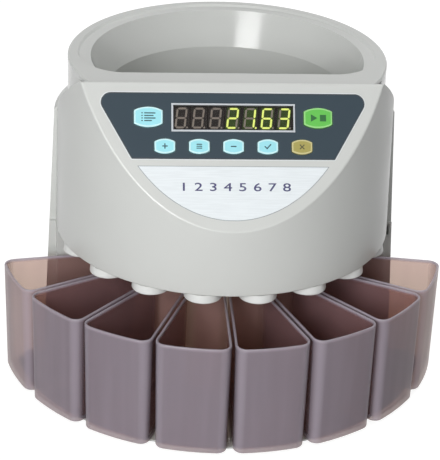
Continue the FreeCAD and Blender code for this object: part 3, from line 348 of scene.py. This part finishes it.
# ---- meshes ----------------------------------------------------------------------------------------
WELD = 1e-6                         # metres


def arc_points(cx, cy, r, start, end, steps):
    """Points along an arc, both ends among them."""
    return [(cx + r * math.cos(start + (end - start) * i / steps),
             cy + r * math.sin(start + (end - start) * i / steps)) for i in range(steps + 1)]


def circle_points(cx, cy, r, sides):
    last = sides - 1
    return arc_points(cx, cy, r, 0.0, 2 * math.pi * last / sides, last)


def round_over(radius, steps):
    """Pairs (inward, upward) of a quarter round, from its upright side to its flat side."""
    turns = [math.pi / 2 * i / steps for i in range(steps + 1)]
    return [(radius * (1 - math.cos(t)), radius * math.sin(t)) for t in turns]


def strip_section(inner, outer, low, thick):
    """Corners of a flat strip's cross-section, for band()."""
    high = low + thick
    return (inner, low), (outer, low), (outer, high), (inner, high)


def console_matrix(u=0.0, w=0.0, n=0.0):
    """Carries x = across, y = up the slope, z = out of the face, in millimetres, to the console."""
    sin_l, cos_l = math.sin(CONSOLE_LEAN), math.cos(CONSOLE_LEAN)
    axes = Matrix(((1, 0, 0), (0, sin_l, -cos_l), (0, cos_l, sin_l))).to_4x4()
    foot = Matrix.Translation(Vector((0, AXIS_Y - CONSOLE_LOW_R, CONSOLE_LOW_Z)))
    return Matrix.Scale(MM, 4) @ foot @ axes @ Matrix.Translation(Vector((u, w, n)))


def link_object(name, data):
    """New object in the scene."""
    holder = bpy.data.objects.new(name, data)
    bpy.context.scene.collection.objects.link(holder)
    return holder


def add_piece(name, mesh, body, materials, replaces=None):
    """Piece that rides on a body and may stand in for a CAD node."""
    piece = link_object(name, mesh)
    for material in materials:
        mesh.materials.append(material)
    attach(piece, body)
    if replaces:
        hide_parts(replaces)
    return piece


def smooth(mesh, angle):
    """Smooth shading, with edges sharper than the angle (in degrees) kept crisp."""
    mesh.shade_smooth()
    mesh.set_sharp_from_angle(angle=math.radians(angle))


def loft(rings, matrix, capped=True, trim_levels=()):
    """Mesh through rings of equally many points; the levels named take the second material."""
    bm = bmesh.new()
    loops = [[bm.verts.new(matrix @ Vector(p)) for p in ring] for ring in rings]
    count = len(rings[0])
    for level, (low, high) in enumerate(zip(loops, loops[1:])):
        for i in range(count):
            j = (i + 1) % count
            face = bm.faces.new((low[i], low[j], high[j], high[i]))
            face.material_index = int(level in trim_levels)
    if capped:
        bm.faces.new(loops[0][::-1])
        bm.faces.new(loops[-1])
    mesh = bpy.data.meshes.new("loft")
    bm.to_mesh(mesh)
    bm.free()
    return mesh


def band(rings, matrix):
    """Mesh through the rings and back to the first, which welds the ends together."""
    mesh = loft(rings + rings[:1], matrix, capped=False)
    bm = bmesh.new()
    bm.from_mesh(mesh)
    bmesh.ops.remove_doubles(bm, verts=bm.verts, dist=WELD)
    bmesh.ops.recalc_face_normals(bm, faces=bm.faces)
    bm.to_mesh(mesh)
    bm.free()
    return mesh


def weigh_normals(piece):
    modifier = piece.modifiers.new("weighted_normals", "WEIGHTED_NORMAL")
    modifier.keep_sharp = True


# ---- coin boxes ------------------------------------------------------------------------------------
ARC_STEPS = 14
CORNER_STEPS = 8
ROUND_STEPS = 5
BOX_CRISP = 50.0                    # degrees
HALF_COUNT = ARC_STEPS + 2 * CORNER_STEPS + 2       # points on one half of a box's outline
FOOT_BAND_Z = BOX_LOW_Z + BOX_FLOOR + BOX_FOOT_ROUND
BAND_FADE = 2.0
LEAST_BOX_RADIUS = 0.3
LEVEL_SLACK = 0.01                  # when a ring's height is compared
FRONT_MILK = 0.6                    # thickness on the frosted front wall
# painted highlight: a lighter, less clear band midway round each outer corner
CORNER_HIGHLIGHT = 0.5
FOOT_MILK = 0.6                     # outside, where the floor meets the walls


def box_ring(inset, z):
    """Outline of a coin box at height z, counter-clockwise from the middle of its outer side."""
    half = BOX_PITCH / 2
    shrink = inset + (BOX_TOP_Z - z) * BOX_DRAFT
    clear, outer, inner = BOX_GAP / 2 + shrink, BOX_OUTER_R - shrink, BOX_INNER_R + shrink
    far, near = (max(LEAST_BOX_RADIUS, r - shrink) for r in (BOX_OUTER_CORNER, BOX_INNER_CORNER))
    turn = half - math.asin((clear + far) / (outer - far))
    side = [(outer * math.sin(turn * i / ARC_STEPS), -outer * math.cos(turn * i / ARC_STEPS))
            for i in range(ARC_STEPS)]
    centre = ((outer - far) * math.sin(turn), -(outer - far) * math.cos(turn))
    side += arc_points(*centre, far, turn - math.pi / 2, half, CORNER_STEPS)
    centre_x = (inner + near) * math.tan(half) - (clear + near) / math.cos(half)
    side += arc_points(centre_x, -inner - near, near, half, math.pi / 2, CORNER_STEPS)
    mirrored = [(-x, y) for x, y in reversed(side[1:])]
    return [(x, y, z) for x, y in side + mirrored]


def box_rings():
    """Outlines from the foot up the outside, over the rim and down the inside to the floor."""
    foot, rim = round_over(BOX_FOOT_ROUND, ROUND_STEPS), round_over(BOX_RIM_ROUND, ROUND_STEPS)
    rim_z, floor_z = BOX_TOP_Z - BOX_RIM_ROUND, BOX_LOW_Z + BOX_FLOOR
    rings = [box_ring(inward, BOX_LOW_Z + BOX_FOOT_ROUND - upward) for inward, upward in foot[::-1]]
    rings += [box_ring(0.0, z) for z in (FOOT_BAND_Z, FOOT_BAND_Z + BAND_FADE, rim_z - BAND_FADE)]
    rings += [box_ring(inward, rim_z + upward) for inward, upward in rim]
    rings += [box_ring(BOX_WALL - inward, rim_z + upward) for inward, upward in rim[::-1]]
    rings += [box_ring(BOX_WALL, z) for z in (rim_z - BAND_FADE, FOOT_BAND_Z + BAND_FADE)]
    rings += [box_ring(BOX_WALL + inward, floor_z + BOX_FOOT_ROUND - upward) for inward, upward in foot]
    return rings


def outline_milk_and_highlight(i):
    """Thickness at a point of a box's outline: frosted in front, fading out round the outer corners, where a
    painted highlight peaks midway round each corner.
    """
    from_middle = min(i, 2 * HALF_COUNT - 1 - i)
    along = (from_middle - ARC_STEPS) / CORNER_STEPS
    corner = math.sin(math.pi * along) if 0.0 < along < 1.0 else 0.0
    front = min(1.0, max(0.0, 1.0 - along))
    return CORNER_HIGHLIGHT * corner + FRONT_MILK * front


def add_box_attributes(mesh, rings):
    """Writes the two attributes that the smoked plastic reads."""
    thick = mesh.attributes.new(THICKNESS_AND_HIGHLIGHT, "FLOAT", "POINT")
    inner = mesh.attributes.new(INSIDE, "FLOAT", "POINT")
    count = len(rings[0])
    top = max(range(len(rings)), key=lambda level: rings[level][0][2])
    for i in range(len(mesh.vertices)):
        level = i // count
        z = rings[level][0][2]
        milk_and_highlight = 0.0
        # the rims are thick plastic, and also carry a painted highlight
        if z > BOX_TOP_Z - BOX_RIM_ROUND - LEVEL_SLACK:
            milk_and_highlight = 1.0
        elif level < top:
            milk_and_highlight = outline_milk_and_highlight(i % count)
            milk_and_highlight = max(milk_and_highlight, FOOT_MILK) if z < FOOT_BAND_Z + LEVEL_SLACK else milk_and_highlight
        thick.data[i].value = milk_and_highlight
        inner.data[i].value = 1.0 if level > top + 1 else 0.0


def coin_boxes():
    rings = box_rings()
    for k in range(1, BOX_COUNT + 1):
        turn = Matrix.Rotation((k - (BOX_COUNT + 1) / 2) * BOX_PITCH, 4, "Z")
        place = Matrix.Scale(MM, 4) @ Matrix.Translation(Vector((0, AXIS_Y, 0))) @ turn
        mesh = loft(rings, place)
        add_box_attributes(mesh, rings)
        smooth(mesh, BOX_CRISP)
        material = [MATERIALS["box_smoke"]]
        weigh_normals(add_piece(f"smoke_box_{k}", mesh, f"box_{k}", material, f"coin_box_{k}"))


# ---- keys ------------------------------------------------------------------------------------------
KEY_CORNER = 1.4
LEAST_KEY_RADIUS = 0.05
KEY_CRISP = 35.0                    # degrees
KEY_EDGE_ROUND = 0.6
KEY_EDGE_STEPS = 4
KEY_RIM_W = 1.3
KEY_FACE_STEP = (0.25, 0.12)        # inwards and down, from the rim, painted pale as a highlight, to the sunk face
KEY_SIGN_DEPTH = 0.13               # of the sign's foot, below the rim
KEY_SIGN_T = 0.06
KEY_SEAT_IN = 0.35                  # from the key's side out to the border
KEY_SEAT_W = 0.9
KEY_SEAT_T = 0.04


def barrel_ring(size, inset, n):
    """Barrel-shaped outline: straight sides, bowed top and bottom, rounded corners."""
    half_w, half_side, half_h = size[0] / 2, size[1] / 2, size[2] / 2
    bow = half_h - half_side
    bow_r = (half_w ** 2 + bow ** 2) / (2 * bow)
    bow_y = half_h - bow_r
    corner = max(KEY_CORNER, -inset)
    corner_x = half_w - corner
    corner_y = bow_y + math.sqrt((bow_r - corner) ** 2 - corner_x ** 2)
    lean = math.atan2(corner_y - bow_y, corner_x)
    radius = max(LEAST_KEY_RADIUS, corner - inset)
    quarter = arc_points(corner_x, corner_y, radius, 0.0, lean, CORNER_STEPS)
    quarter += arc_points(0.0, bow_y, bow_r - inset, lean, math.pi / 2, CORNER_STEPS)[1:]
    upper = quarter + [(-x, y) for x, y in reversed(quarter[:-1])]
    lower = [(-x, -y) for x, y in upper]
    return [(x, y, n) for x, y in upper + lower]


def key_cap(name, size, u, w, slot):
    """Key with a flange below the console's face, a rim painted paler as a highlight and a slightly sunk
    face.
    """
    step_in, step_down = KEY_FACE_STEP
    rings = [barrel_ring(size, -KEY_FLANGE_W, KEY_LOW), barrel_ring(size, -KEY_FLANGE_W, KEY_FLANGE_TOP)]
    rings.append(barrel_ring(size, 0.0, KEY_FLANGE_TOP))
    first_rim = len(rings)
    for inward, upward in round_over(KEY_EDGE_ROUND, KEY_EDGE_STEPS):
        rings.append(barrel_ring(size, inward, KEY_TOP - KEY_EDGE_ROUND + upward))
    rim_levels = range(first_rim, len(rings))
    rings.append(barrel_ring(size, KEY_RIM_W, KEY_TOP))
    rings.append(barrel_ring(size, KEY_RIM_W + step_in, KEY_TOP - step_down))
    mesh = loft(rings, console_matrix(u, w), trim_levels=rim_levels)
    smooth(mesh, KEY_CRISP)
    finishes = [MATERIALS[slot], KEY_HIGHLIGHT_RIMS[slot]]
    weigh_normals(add_piece(f"key_cap_{name}", mesh, f"key_{name}", finishes, f"button_{name}"))


def key_seat(name, size, u, w):
    """Dark border printed on the film round a key."""
    inner, outer = -KEY_SEAT_IN, -KEY_SEAT_IN - KEY_SEAT_W
    rings = [barrel_ring(size, inset, n) for inset, n in strip_section(inner, outer, OVERLAY_T, KEY_SEAT_T)]
    mesh = band(rings, console_matrix(u, w))
    add_piece(f"key_seat_{name}", mesh, "machine", [KEY_SEAT_MATERIAL])


# ---- flat marks: each is a list of closed outlines, in millimetres ---------------------------------
BAR_END_STEPS = 8
SIGN_STROKE = 0.9
LIST_ROWS = (3.0, 1.0, -1.0, -3.0)
LIST_ENDS = (5.2, 3.6, 5.2, 2.4)


def bar(x0, y0, x1, y1, width):
    """A straight stroke with round ends."""
    turn = math.atan2(y1 - y0, x1 - x0)
    left, right, back = turn + math.pi / 2, turn - math.pi / 2, turn + 3 * math.pi / 2
    end = arc_points(x1, y1, width / 2, right, left, BAR_END_STEPS)
    return end + arc_points(x0, y0, width / 2, left, back, BAR_END_STEPS)


def marks_mesh(outlines, matrix, thick):
    """Flat plates of the outlines' shapes."""
    bm = bmesh.new()
    for outline in outlines:
        low = [bm.verts.new(matrix @ Vector((x, y, 0))) for x, y in outline]
        high = [bm.verts.new(matrix @ Vector((x, y, thick))) for x, y in outline]
        for i in range(len(outline)):
            j = (i + 1) % len(outline)
            bm.faces.new((low[i], low[j], high[j], high[i]))
        bm.faces.new(low[::-1])
        bm.faces.new(high)
    mesh = bpy.data.meshes.new("marks")
    bm.to_mesh(mesh)
    bm.free()
    return mesh


def key_icons():
    """A generic sign for each key."""
    stroke = SIGN_STROKE
    icons = {
        "plus": [bar(-1.7, 0, 1.7, 0, stroke), bar(0, 0.5, 0, 1.7, stroke), bar(0, -1.7, 0, -0.5, stroke)],
        "minus": [bar(-1.8, 0, 1.8, 0, stroke)],
        "batch": [bar(-1.8, y, 1.8, y, 0.8) for y in (-1.5, 0.0, 1.5)],
        "set": [bar(-2.2, 0.1, -0.7, -1.5, stroke), bar(-0.7, -1.5, 2.2, 1.7, stroke)],
        "clear": [bar(-1.5, -1.5, 1.5, 1.5, stroke), bar(-1.5, 1.5, -0.4, 0.4, stroke),
                  bar(0.4, -0.4, 1.5, -1.5, stroke)],
        "start": [[(-5.6, -3.0), (-0.6, 0.0), (-5.6, 3.0)],
                  [(1.4, -2.6), (6.2, -2.6), (6.2, 2.6), (1.4, 2.6)]],
        "report": [bar(-5.0, y, -4.6, y, stroke) for y in LIST_ROWS],
    }
    icons["report"] += [bar(-2.8, y, end, y, stroke) for y, end in zip(LIST_ROWS, LIST_ENDS)]
    return icons


def keys():
    icons = key_icons()
    for name, (size, u, w, slot) in KEYS.items():
        key_cap(name, size, u, w, slot)
        key_seat(name, size, u, w)
        mesh = marks_mesh(icons[name], console_matrix(u, w, KEY_TOP - KEY_SIGN_DEPTH), KEY_SIGN_T)
        add_piece(f"key_sign_{name}", mesh, f"key_{name}", [LEGEND_INKS[slot]])


# ---- overlay trims ---------------------------------------------------------------------------------
OVERLAY_CORNER_STEPS = 10
TRIM = (0.05, 0.85, 0.0, 0.2)       # inner and outer offset, foot and thickness: proud of the face
BORDER = (-0.9, -0.1, OVERLAY_T, 0.05)      # printed on the film


def overlay_ring(grow, n):
    """The overlay's outline, moved outwards by grow."""
    ring = []
    corners = [Vector(p) for p in OVERLAY_CORNERS]
    for i, corner in enumerate(corners):
        back = (corners[i - 1] - corner).normalized()
        ahead = (corners[(i + 1) % 4] - corner).normalized()
        half = back.angle(ahead) / 2
        radius = OVERLAY_RADII[i]
        centre = corner + (back + ahead).normalized() * radius / math.sin(half)
        start = math.atan2(-back.x, back.y) + math.pi
        sweep = math.pi - 2 * half
        ring += arc_points(centre.x, centre.y, radius + grow, start, start + sweep, OVERLAY_CORNER_STEPS)
    return [(x, y, n) for x, y in ring]


def frame_strip(name, section, material):
    """Flat strip round the overlay."""
    mesh = band([overlay_ring(grow, n) for grow, n in strip_section(*section)], console_matrix())
    add_piece(name, mesh, "machine", [material])


# ---- display ---------------------------------------------------------------------------------------
SEGMENT_W = 1.5
SEGMENT_GAP = 0.25
DIGIT_HALF = (3.5, 7.5)
DIGIT_SLANT = 0.12
DIGIT_SHIFT = -0.4
POINT_OUT = 1.9                     # from the digit's side to the middle of its point
POINT_R = 0.75
POINT_SIDES = 12
LIT = {4: "abged", 5: "bc", 6: "afgedc", 7: "abgcd"}
LIT_POINT = 5
GLOW_HALF = (5.0, 8.6)
GLOW_T = 0.02
SEGMENT_T = 0.05
GLOW_FOOT = OVERLAY_T - LENS_T - 0.1        # behind the lens
SEGMENT_FOOT = OVERLAY_T - LENS_T - 0.07


def segment_outlines():
    """The seven segments of one digit, by letter, and its point."""
    wide, high = DIGIT_HALF
    half, gap = SEGMENT_W / 2, SEGMENT_GAP

    def flat(y):
        return [(-wide + gap, y), (-wide + half + gap, y + half), (wide - half - gap, y + half),
                (wide - gap, y), (wide - half - gap, y - half), (-wide + half + gap, y - half)][::-1]

    def upright(x, y0, y1):
        return [(x, y0 + gap), (x + half, y0 + half + gap), (x + half, y1 - half - gap),
                (x, y1 - gap), (x - half, y1 - half - gap), (x - half, y0 + half + gap)]

    return {
        "a": flat(high), "g": flat(0.0), "d": flat(-high),
        "f": upright(-wide, 0.0, high), "b": upright(wide, 0.0, high),
        "e": upright(-wide, -high, 0.0), "c": upright(wide, -high, 0.0),
        "point": circle_points(wide + POINT_OUT, -high, POINT_R, POINT_SIDES),
    }


def at_digit(place, outline):
    """The outline slanted and moved to the digit's place."""
    middle = (place - (DIGIT_COUNT + 1) / 2) * WINDOW_WIDTH / DIGIT_COUNT + DIGIT_SHIFT
    return [(x + DIGIT_SLANT * y + middle, y) for x, y in outline]


def display_marks(name, outlines, foot, thick, material):
    mesh = marks_mesh(outlines, console_matrix(0.0, WINDOW_UP, foot), thick)
    add_piece(name, mesh, "machine", [material])


def display():
    """Lit and unlit segments, and a glow behind each lit digit."""
    lit, unlit = [], []
    for place in range(1, DIGIT_COUNT + 1):
        for letter, outline in segment_outlines().items():
            is_lit = letter in LIT.get(place, "") or (letter == "point" and place == LIT_POINT)
            (lit if is_lit else unlit).append(at_digit(place, outline))
    wide, high = GLOW_HALF
    plate = [(-wide, -high), (wide, -high), (wide, high), (-wide, high)]
    glow = [at_digit(place, plate) for place in LIT]
    display_marks("display_glow", glow, GLOW_FOOT, GLOW_T, GLOW_GREEN)
    display_marks("display_segments_lit", lit, SEGMENT_FOOT, SEGMENT_T, SEGMENT_ON)
    display_marks("display_segments_off", unlit, SEGMENT_FOOT, SEGMENT_T, SEGMENT_OFF)


# ---- label -----------------------------------------------------------------------------------------
LABEL_STEPS = 72
LABEL_SHADE_STRIP = (0.02, 0.5, 0.0, 0.1)  # inner and outer offset, foot and thickness
NUMBERS = "1 2 3 4 5 6 7 8"
NUMBERS_PLACE = (1.2, 35.1)
NUMBERS_HEIGHT = 6.3
CAP_SHARE = 0.7                     # of the font's size, taken by a figure's height
NUMBERS_SPACING = 1.06
NUMBERS_WIDEN = 1.5
NUMBERS_BOLD = 0.07
NUMBERS_T = 0.05                    # above the label's face, and as much below it
NUMBERS_WELD = 1e-5
SIDE_RISE = 0.5                     # a face is a side where its normal rises or falls less
SAME_WAY = 0.999                    # cosine between the normals of two flat neighbours
LEAST_MITRE = 0.6


def label_ring(grow, n):
    """The half-moon label's outline, moved outwards by grow."""
    across, up = (radius + grow for radius in LABEL_RADII)
    middle, top = LABEL_LOW + LABEL_RADII[1], LABEL_TOP + grow
    lean = math.asin((middle - top) / up)
    turns = [math.pi + lean + (math.pi - 2 * lean) * i / LABEL_STEPS for i in range(LABEL_STEPS + 1)]
    return [(across * math.cos(turn), middle + up * math.sin(turn), n) for turn in turns]


def label_shade_line():
    """Thin dark line where the label sits in the console: painted shade along the seam."""
    mesh = band([label_ring(grow, n) for grow, n in strip_section(*LABEL_SHADE_STRIP)], console_matrix())
    add_piece("label_shade_line", mesh, "machine", [LABEL_SHADE_MATERIAL])


def embolden(mesh, amount):
    """Moves the upright sides of flat lettering outwards."""
    bm = bmesh.new()
    bm.from_mesh(mesh)
    bmesh.ops.remove_doubles(bm, verts=bm.verts, dist=NUMBERS_WELD)
    bm.normal_update()
    shifts = {}
    for vert in bm.verts:
        sides = [face.normal for face in vert.link_faces if abs(face.normal.z) < SIDE_RISE]
        ways = [way for i, way in enumerate(sides) if all(way.dot(other) < SAME_WAY for other in sides[:i])]
        way = sum(ways, Vector()).normalized()
        shifts[vert] = way * amount / max(LEAST_MITRE, way.dot(ways[0]))
    for vert, shift in shifts.items():
        vert.co += shift
    bm.to_mesh(mesh)
    bm.free()


def label_numbers():
    """Plain numbers, one for each box."""
    curve = bpy.data.curves.new("number_outline", "FONT")
    curve.body = NUMBERS
    curve.align_x, curve.align_y = "CENTER", "CENTER"
    curve.size = NUMBERS_HEIGHT / CAP_SHARE
    curve.space_character = NUMBERS_SPACING
    curve.extrude = NUMBERS_T
    holder = link_object("number_outline", curve)
    mesh = bpy.data.meshes.new_from_object(holder.evaluated_get(bpy.context.evaluated_depsgraph_get()))
    bpy.data.objects.remove(holder)
    embolden(mesh, NUMBERS_BOLD)
    mesh.transform(console_matrix(*NUMBERS_PLACE, LABEL_T) @ Matrix.Diagonal((NUMBERS_WIDEN, 1.0, 1.0, 1.0)))
    add_piece("label_numbers", mesh, "machine", [NAVY_INK])


# ---- switch at the back ----------------------------------------------------------------------------
ROCKER_PIVOT = (22.0, 156.6, 44.0)
ROCKER_TILT = math.radians(8.0)
ROCKER_DIP = 2.6                    # the middle of its face, out of the pivot
ROCKER_END = (4.4, 5.2)             # and its ends, out and up or down
SWITCH_SIGN_T = 0.05
LINE_HALF = 1.1
LINE_W = 0.45
RING_RADII = (0.8, 1.2)
RING_SIDES = 48


def rocker_matrix(side):
    """Carries x = across, y = up, z = out of the rocker's upper (1) or lower (-1) face."""
    out, rise = ROCKER_END
    lean = math.atan2(out - ROCKER_DIP, rise) * side
    axes = Matrix(((-1, 0, 0), (0, math.sin(lean), math.cos(lean)), (0, math.cos(lean), -math.sin(lean))))
    middle = Matrix.Translation(Vector((0, (out + ROCKER_DIP) / 2, side * rise / 2)))
    tilt = Matrix.Rotation(-ROCKER_TILT, 4, "X")
    return Matrix.Scale(MM, 4) @ Matrix.Translation(Vector(ROCKER_PIVOT)) @ tilt @ middle @ axes.to_4x4()


def switch_signs():
    """A line for on and a ring for off, printed on the rocker."""
    line = marks_mesh([bar(0, -LINE_HALF, 0, LINE_HALF, LINE_W)], rocker_matrix(1), SWITCH_SIGN_T)
    add_piece("switch_on_sign", line, "rocker", [SWITCH_INK])
    section = strip_section(*RING_RADII, 0.0, SWITCH_SIGN_T)
    rings = [[(x, y, n) for x, y in circle_points(0, 0, r, RING_SIDES)] for r, n in section]
    ring = band(rings, rocker_matrix(-1))
    add_piece("switch_off_sign", ring, "rocker", [SWITCH_INK])


# ---- stage -----------------------------------------------------------------------------------------
CAMERA_PLACE = (-107.7, -1435.1, 809.9)     # from the drum's axis, in millimetres
CAMERA_TARGET = (-0.78, 0.0, 108.18)
CAMERA_ROLL = math.radians(2.12)
CAMERA_FOCAL = 1902.1                       # in pixels of a picture 460 high
PICTURE_H = 460
SENSOR = 36.0
VIEW_END = 20.0                             # metres
WORLD_LEVEL = 0.06                          # light on the object; the white it is seen against is 1
FLOOR_REACH = 6.0                           # metres to each side
FLOOR_GREY = (130, 130, 130)
FLOOR_LIFT = 0.9                            # what the floor adds for the eye, up to white
LAMP_AIM = (0.0, 0.0, 0.15)                 # metres
LAMPS = (                                   # name, turn, rise, distance, size, power
    ("key_light", -24.0, 22.0, 2.0, (0.7, 0.9), 23.8),
    ("top_light", -10.0, 74.0, 1.8, (1.2, 1.2), 6.0),
    ("window_light", 9.0, 20.0, 2.2, (0.7, 0.5), 4.5),
    ("low_light", -22.0, 4.0, 2.2, (1.0, 0.25), 5.0),
    ("back_light", 150.0, 50.0, 2.0, (1.4, 0.9), 14.0),
)


def camera():
    data = bpy.data.cameras.new("camera")
    data.sensor_width = SENSOR
    data.lens = CAMERA_FOCAL / PICTURE_H * SENSOR
    data.clip_end = VIEW_END
    holder = link_object("camera", data)
    axis = Vector((0, AXIS_Y, 0))
    place, target = (Vector(CAMERA_PLACE) + axis) * MM, (Vector(CAMERA_TARGET) + axis) * MM
    aim = (target - place).to_track_quat("-Z", "Y").to_matrix().to_4x4()
    holder.matrix_world = Matrix.Translation(place) @ aim @ Matrix.Rotation(CAMERA_ROLL, 4, "Z")
    bpy.context.scene.camera = holder


def node_maths(tree, operation, first, second):
    """Math node of two inputs, each a number or another node's output."""
    node = tree.nodes.new("ShaderNodeMath")
    node.operation = operation
    for socket, value in zip(node.inputs, (first, second)):
        if isinstance(value, (int, float)):
            socket.default_value = value
        else:
            tree.links.new(value, socket)
    return node.outputs["Value"]


def seen_rays(tree):
    """1 for rays that show a thing to the eye: straight, in a reflection or through glass."""
    path = tree.nodes.new("ShaderNodeLightPath")
    seen = node_maths(tree, "MAXIMUM", path.outputs["Is Camera Ray"], path.outputs["Is Glossy Ray"])
    return node_maths(tree, "MAXIMUM", seen, path.outputs["Is Transmission Ray"])


def softbox(name, turn, rise, distance, size, power):
    """Area lamp that looks at the machine; turn (to the right of the front) and rise in degrees."""
    data = bpy.data.lights.new(name, "AREA")
    data.shape = "RECTANGLE"
    data.size, data.size_y = size
    data.energy = power
    holder = link_object(name, data)
    turn, rise = math.radians(turn), math.radians(rise)
    away = Vector((math.sin(turn) * math.cos(rise), -math.cos(turn) * math.cos(rise), math.sin(rise)))
    aim = (-away).to_track_quat("-Z", "Y").to_matrix().to_4x4()
    holder.matrix_world = Matrix.Translation(Vector(LAMP_AIM) + away * distance) @ aim


def lights():
    for lamp in LAMPS:
        softbox(*lamp)
    world = bpy.data.worlds.new("studio")
    bpy.context.scene.world = world
    world.use_nodes = True
    tree = world.node_tree
    background = tree.nodes["Background"]
    background.inputs["Color"].default_value = (1.0, 1.0, 1.0, 1.0)
    lit = node_maths(tree, "MULTIPLY", seen_rays(tree), 1.0 - WORLD_LEVEL)
    tree.links.new(node_maths(tree, "ADD", lit, WORLD_LEVEL), background.inputs["Strength"])


def floor():
    mesh = bpy.data.meshes.new("floor")
    corners = [(x * FLOOR_REACH, y * FLOOR_REACH, 0) for x, y in ((-1, -1), (1, -1), (1, 1), (-1, 1))]
    mesh.from_pydata(corners, [], [(0, 1, 2, 3)])
    ground = link_object("floor", mesh)
    finish = Finish("floor_paper", FLOOR_GREY, 0.7)
    finish.shader.inputs["Emission Color"].default_value = (1.0, 1.0, 1.0, 1.0)
    lift = node_maths(finish.tree, "MULTIPLY", seen_rays(finish.tree), FLOOR_LIFT)
    finish.tree.links.new(lift, finish.shader.inputs["Emission Strength"])
    mesh.materials.append(finish.mottle(3.0, 0.01).material)


bpy.context.scene.view_settings.view_transform = "Standard"
camera()
lights()
floor()
dress_cad_nodes()
coin_boxes()
keys()
frame_strip("overlay_trim", TRIM, TRIM_MATERIAL)
frame_strip("overlay_border", BORDER, DARK_TRIM_MATERIAL)
display()
label_shade_line()
label_numbers()
switch_signs()
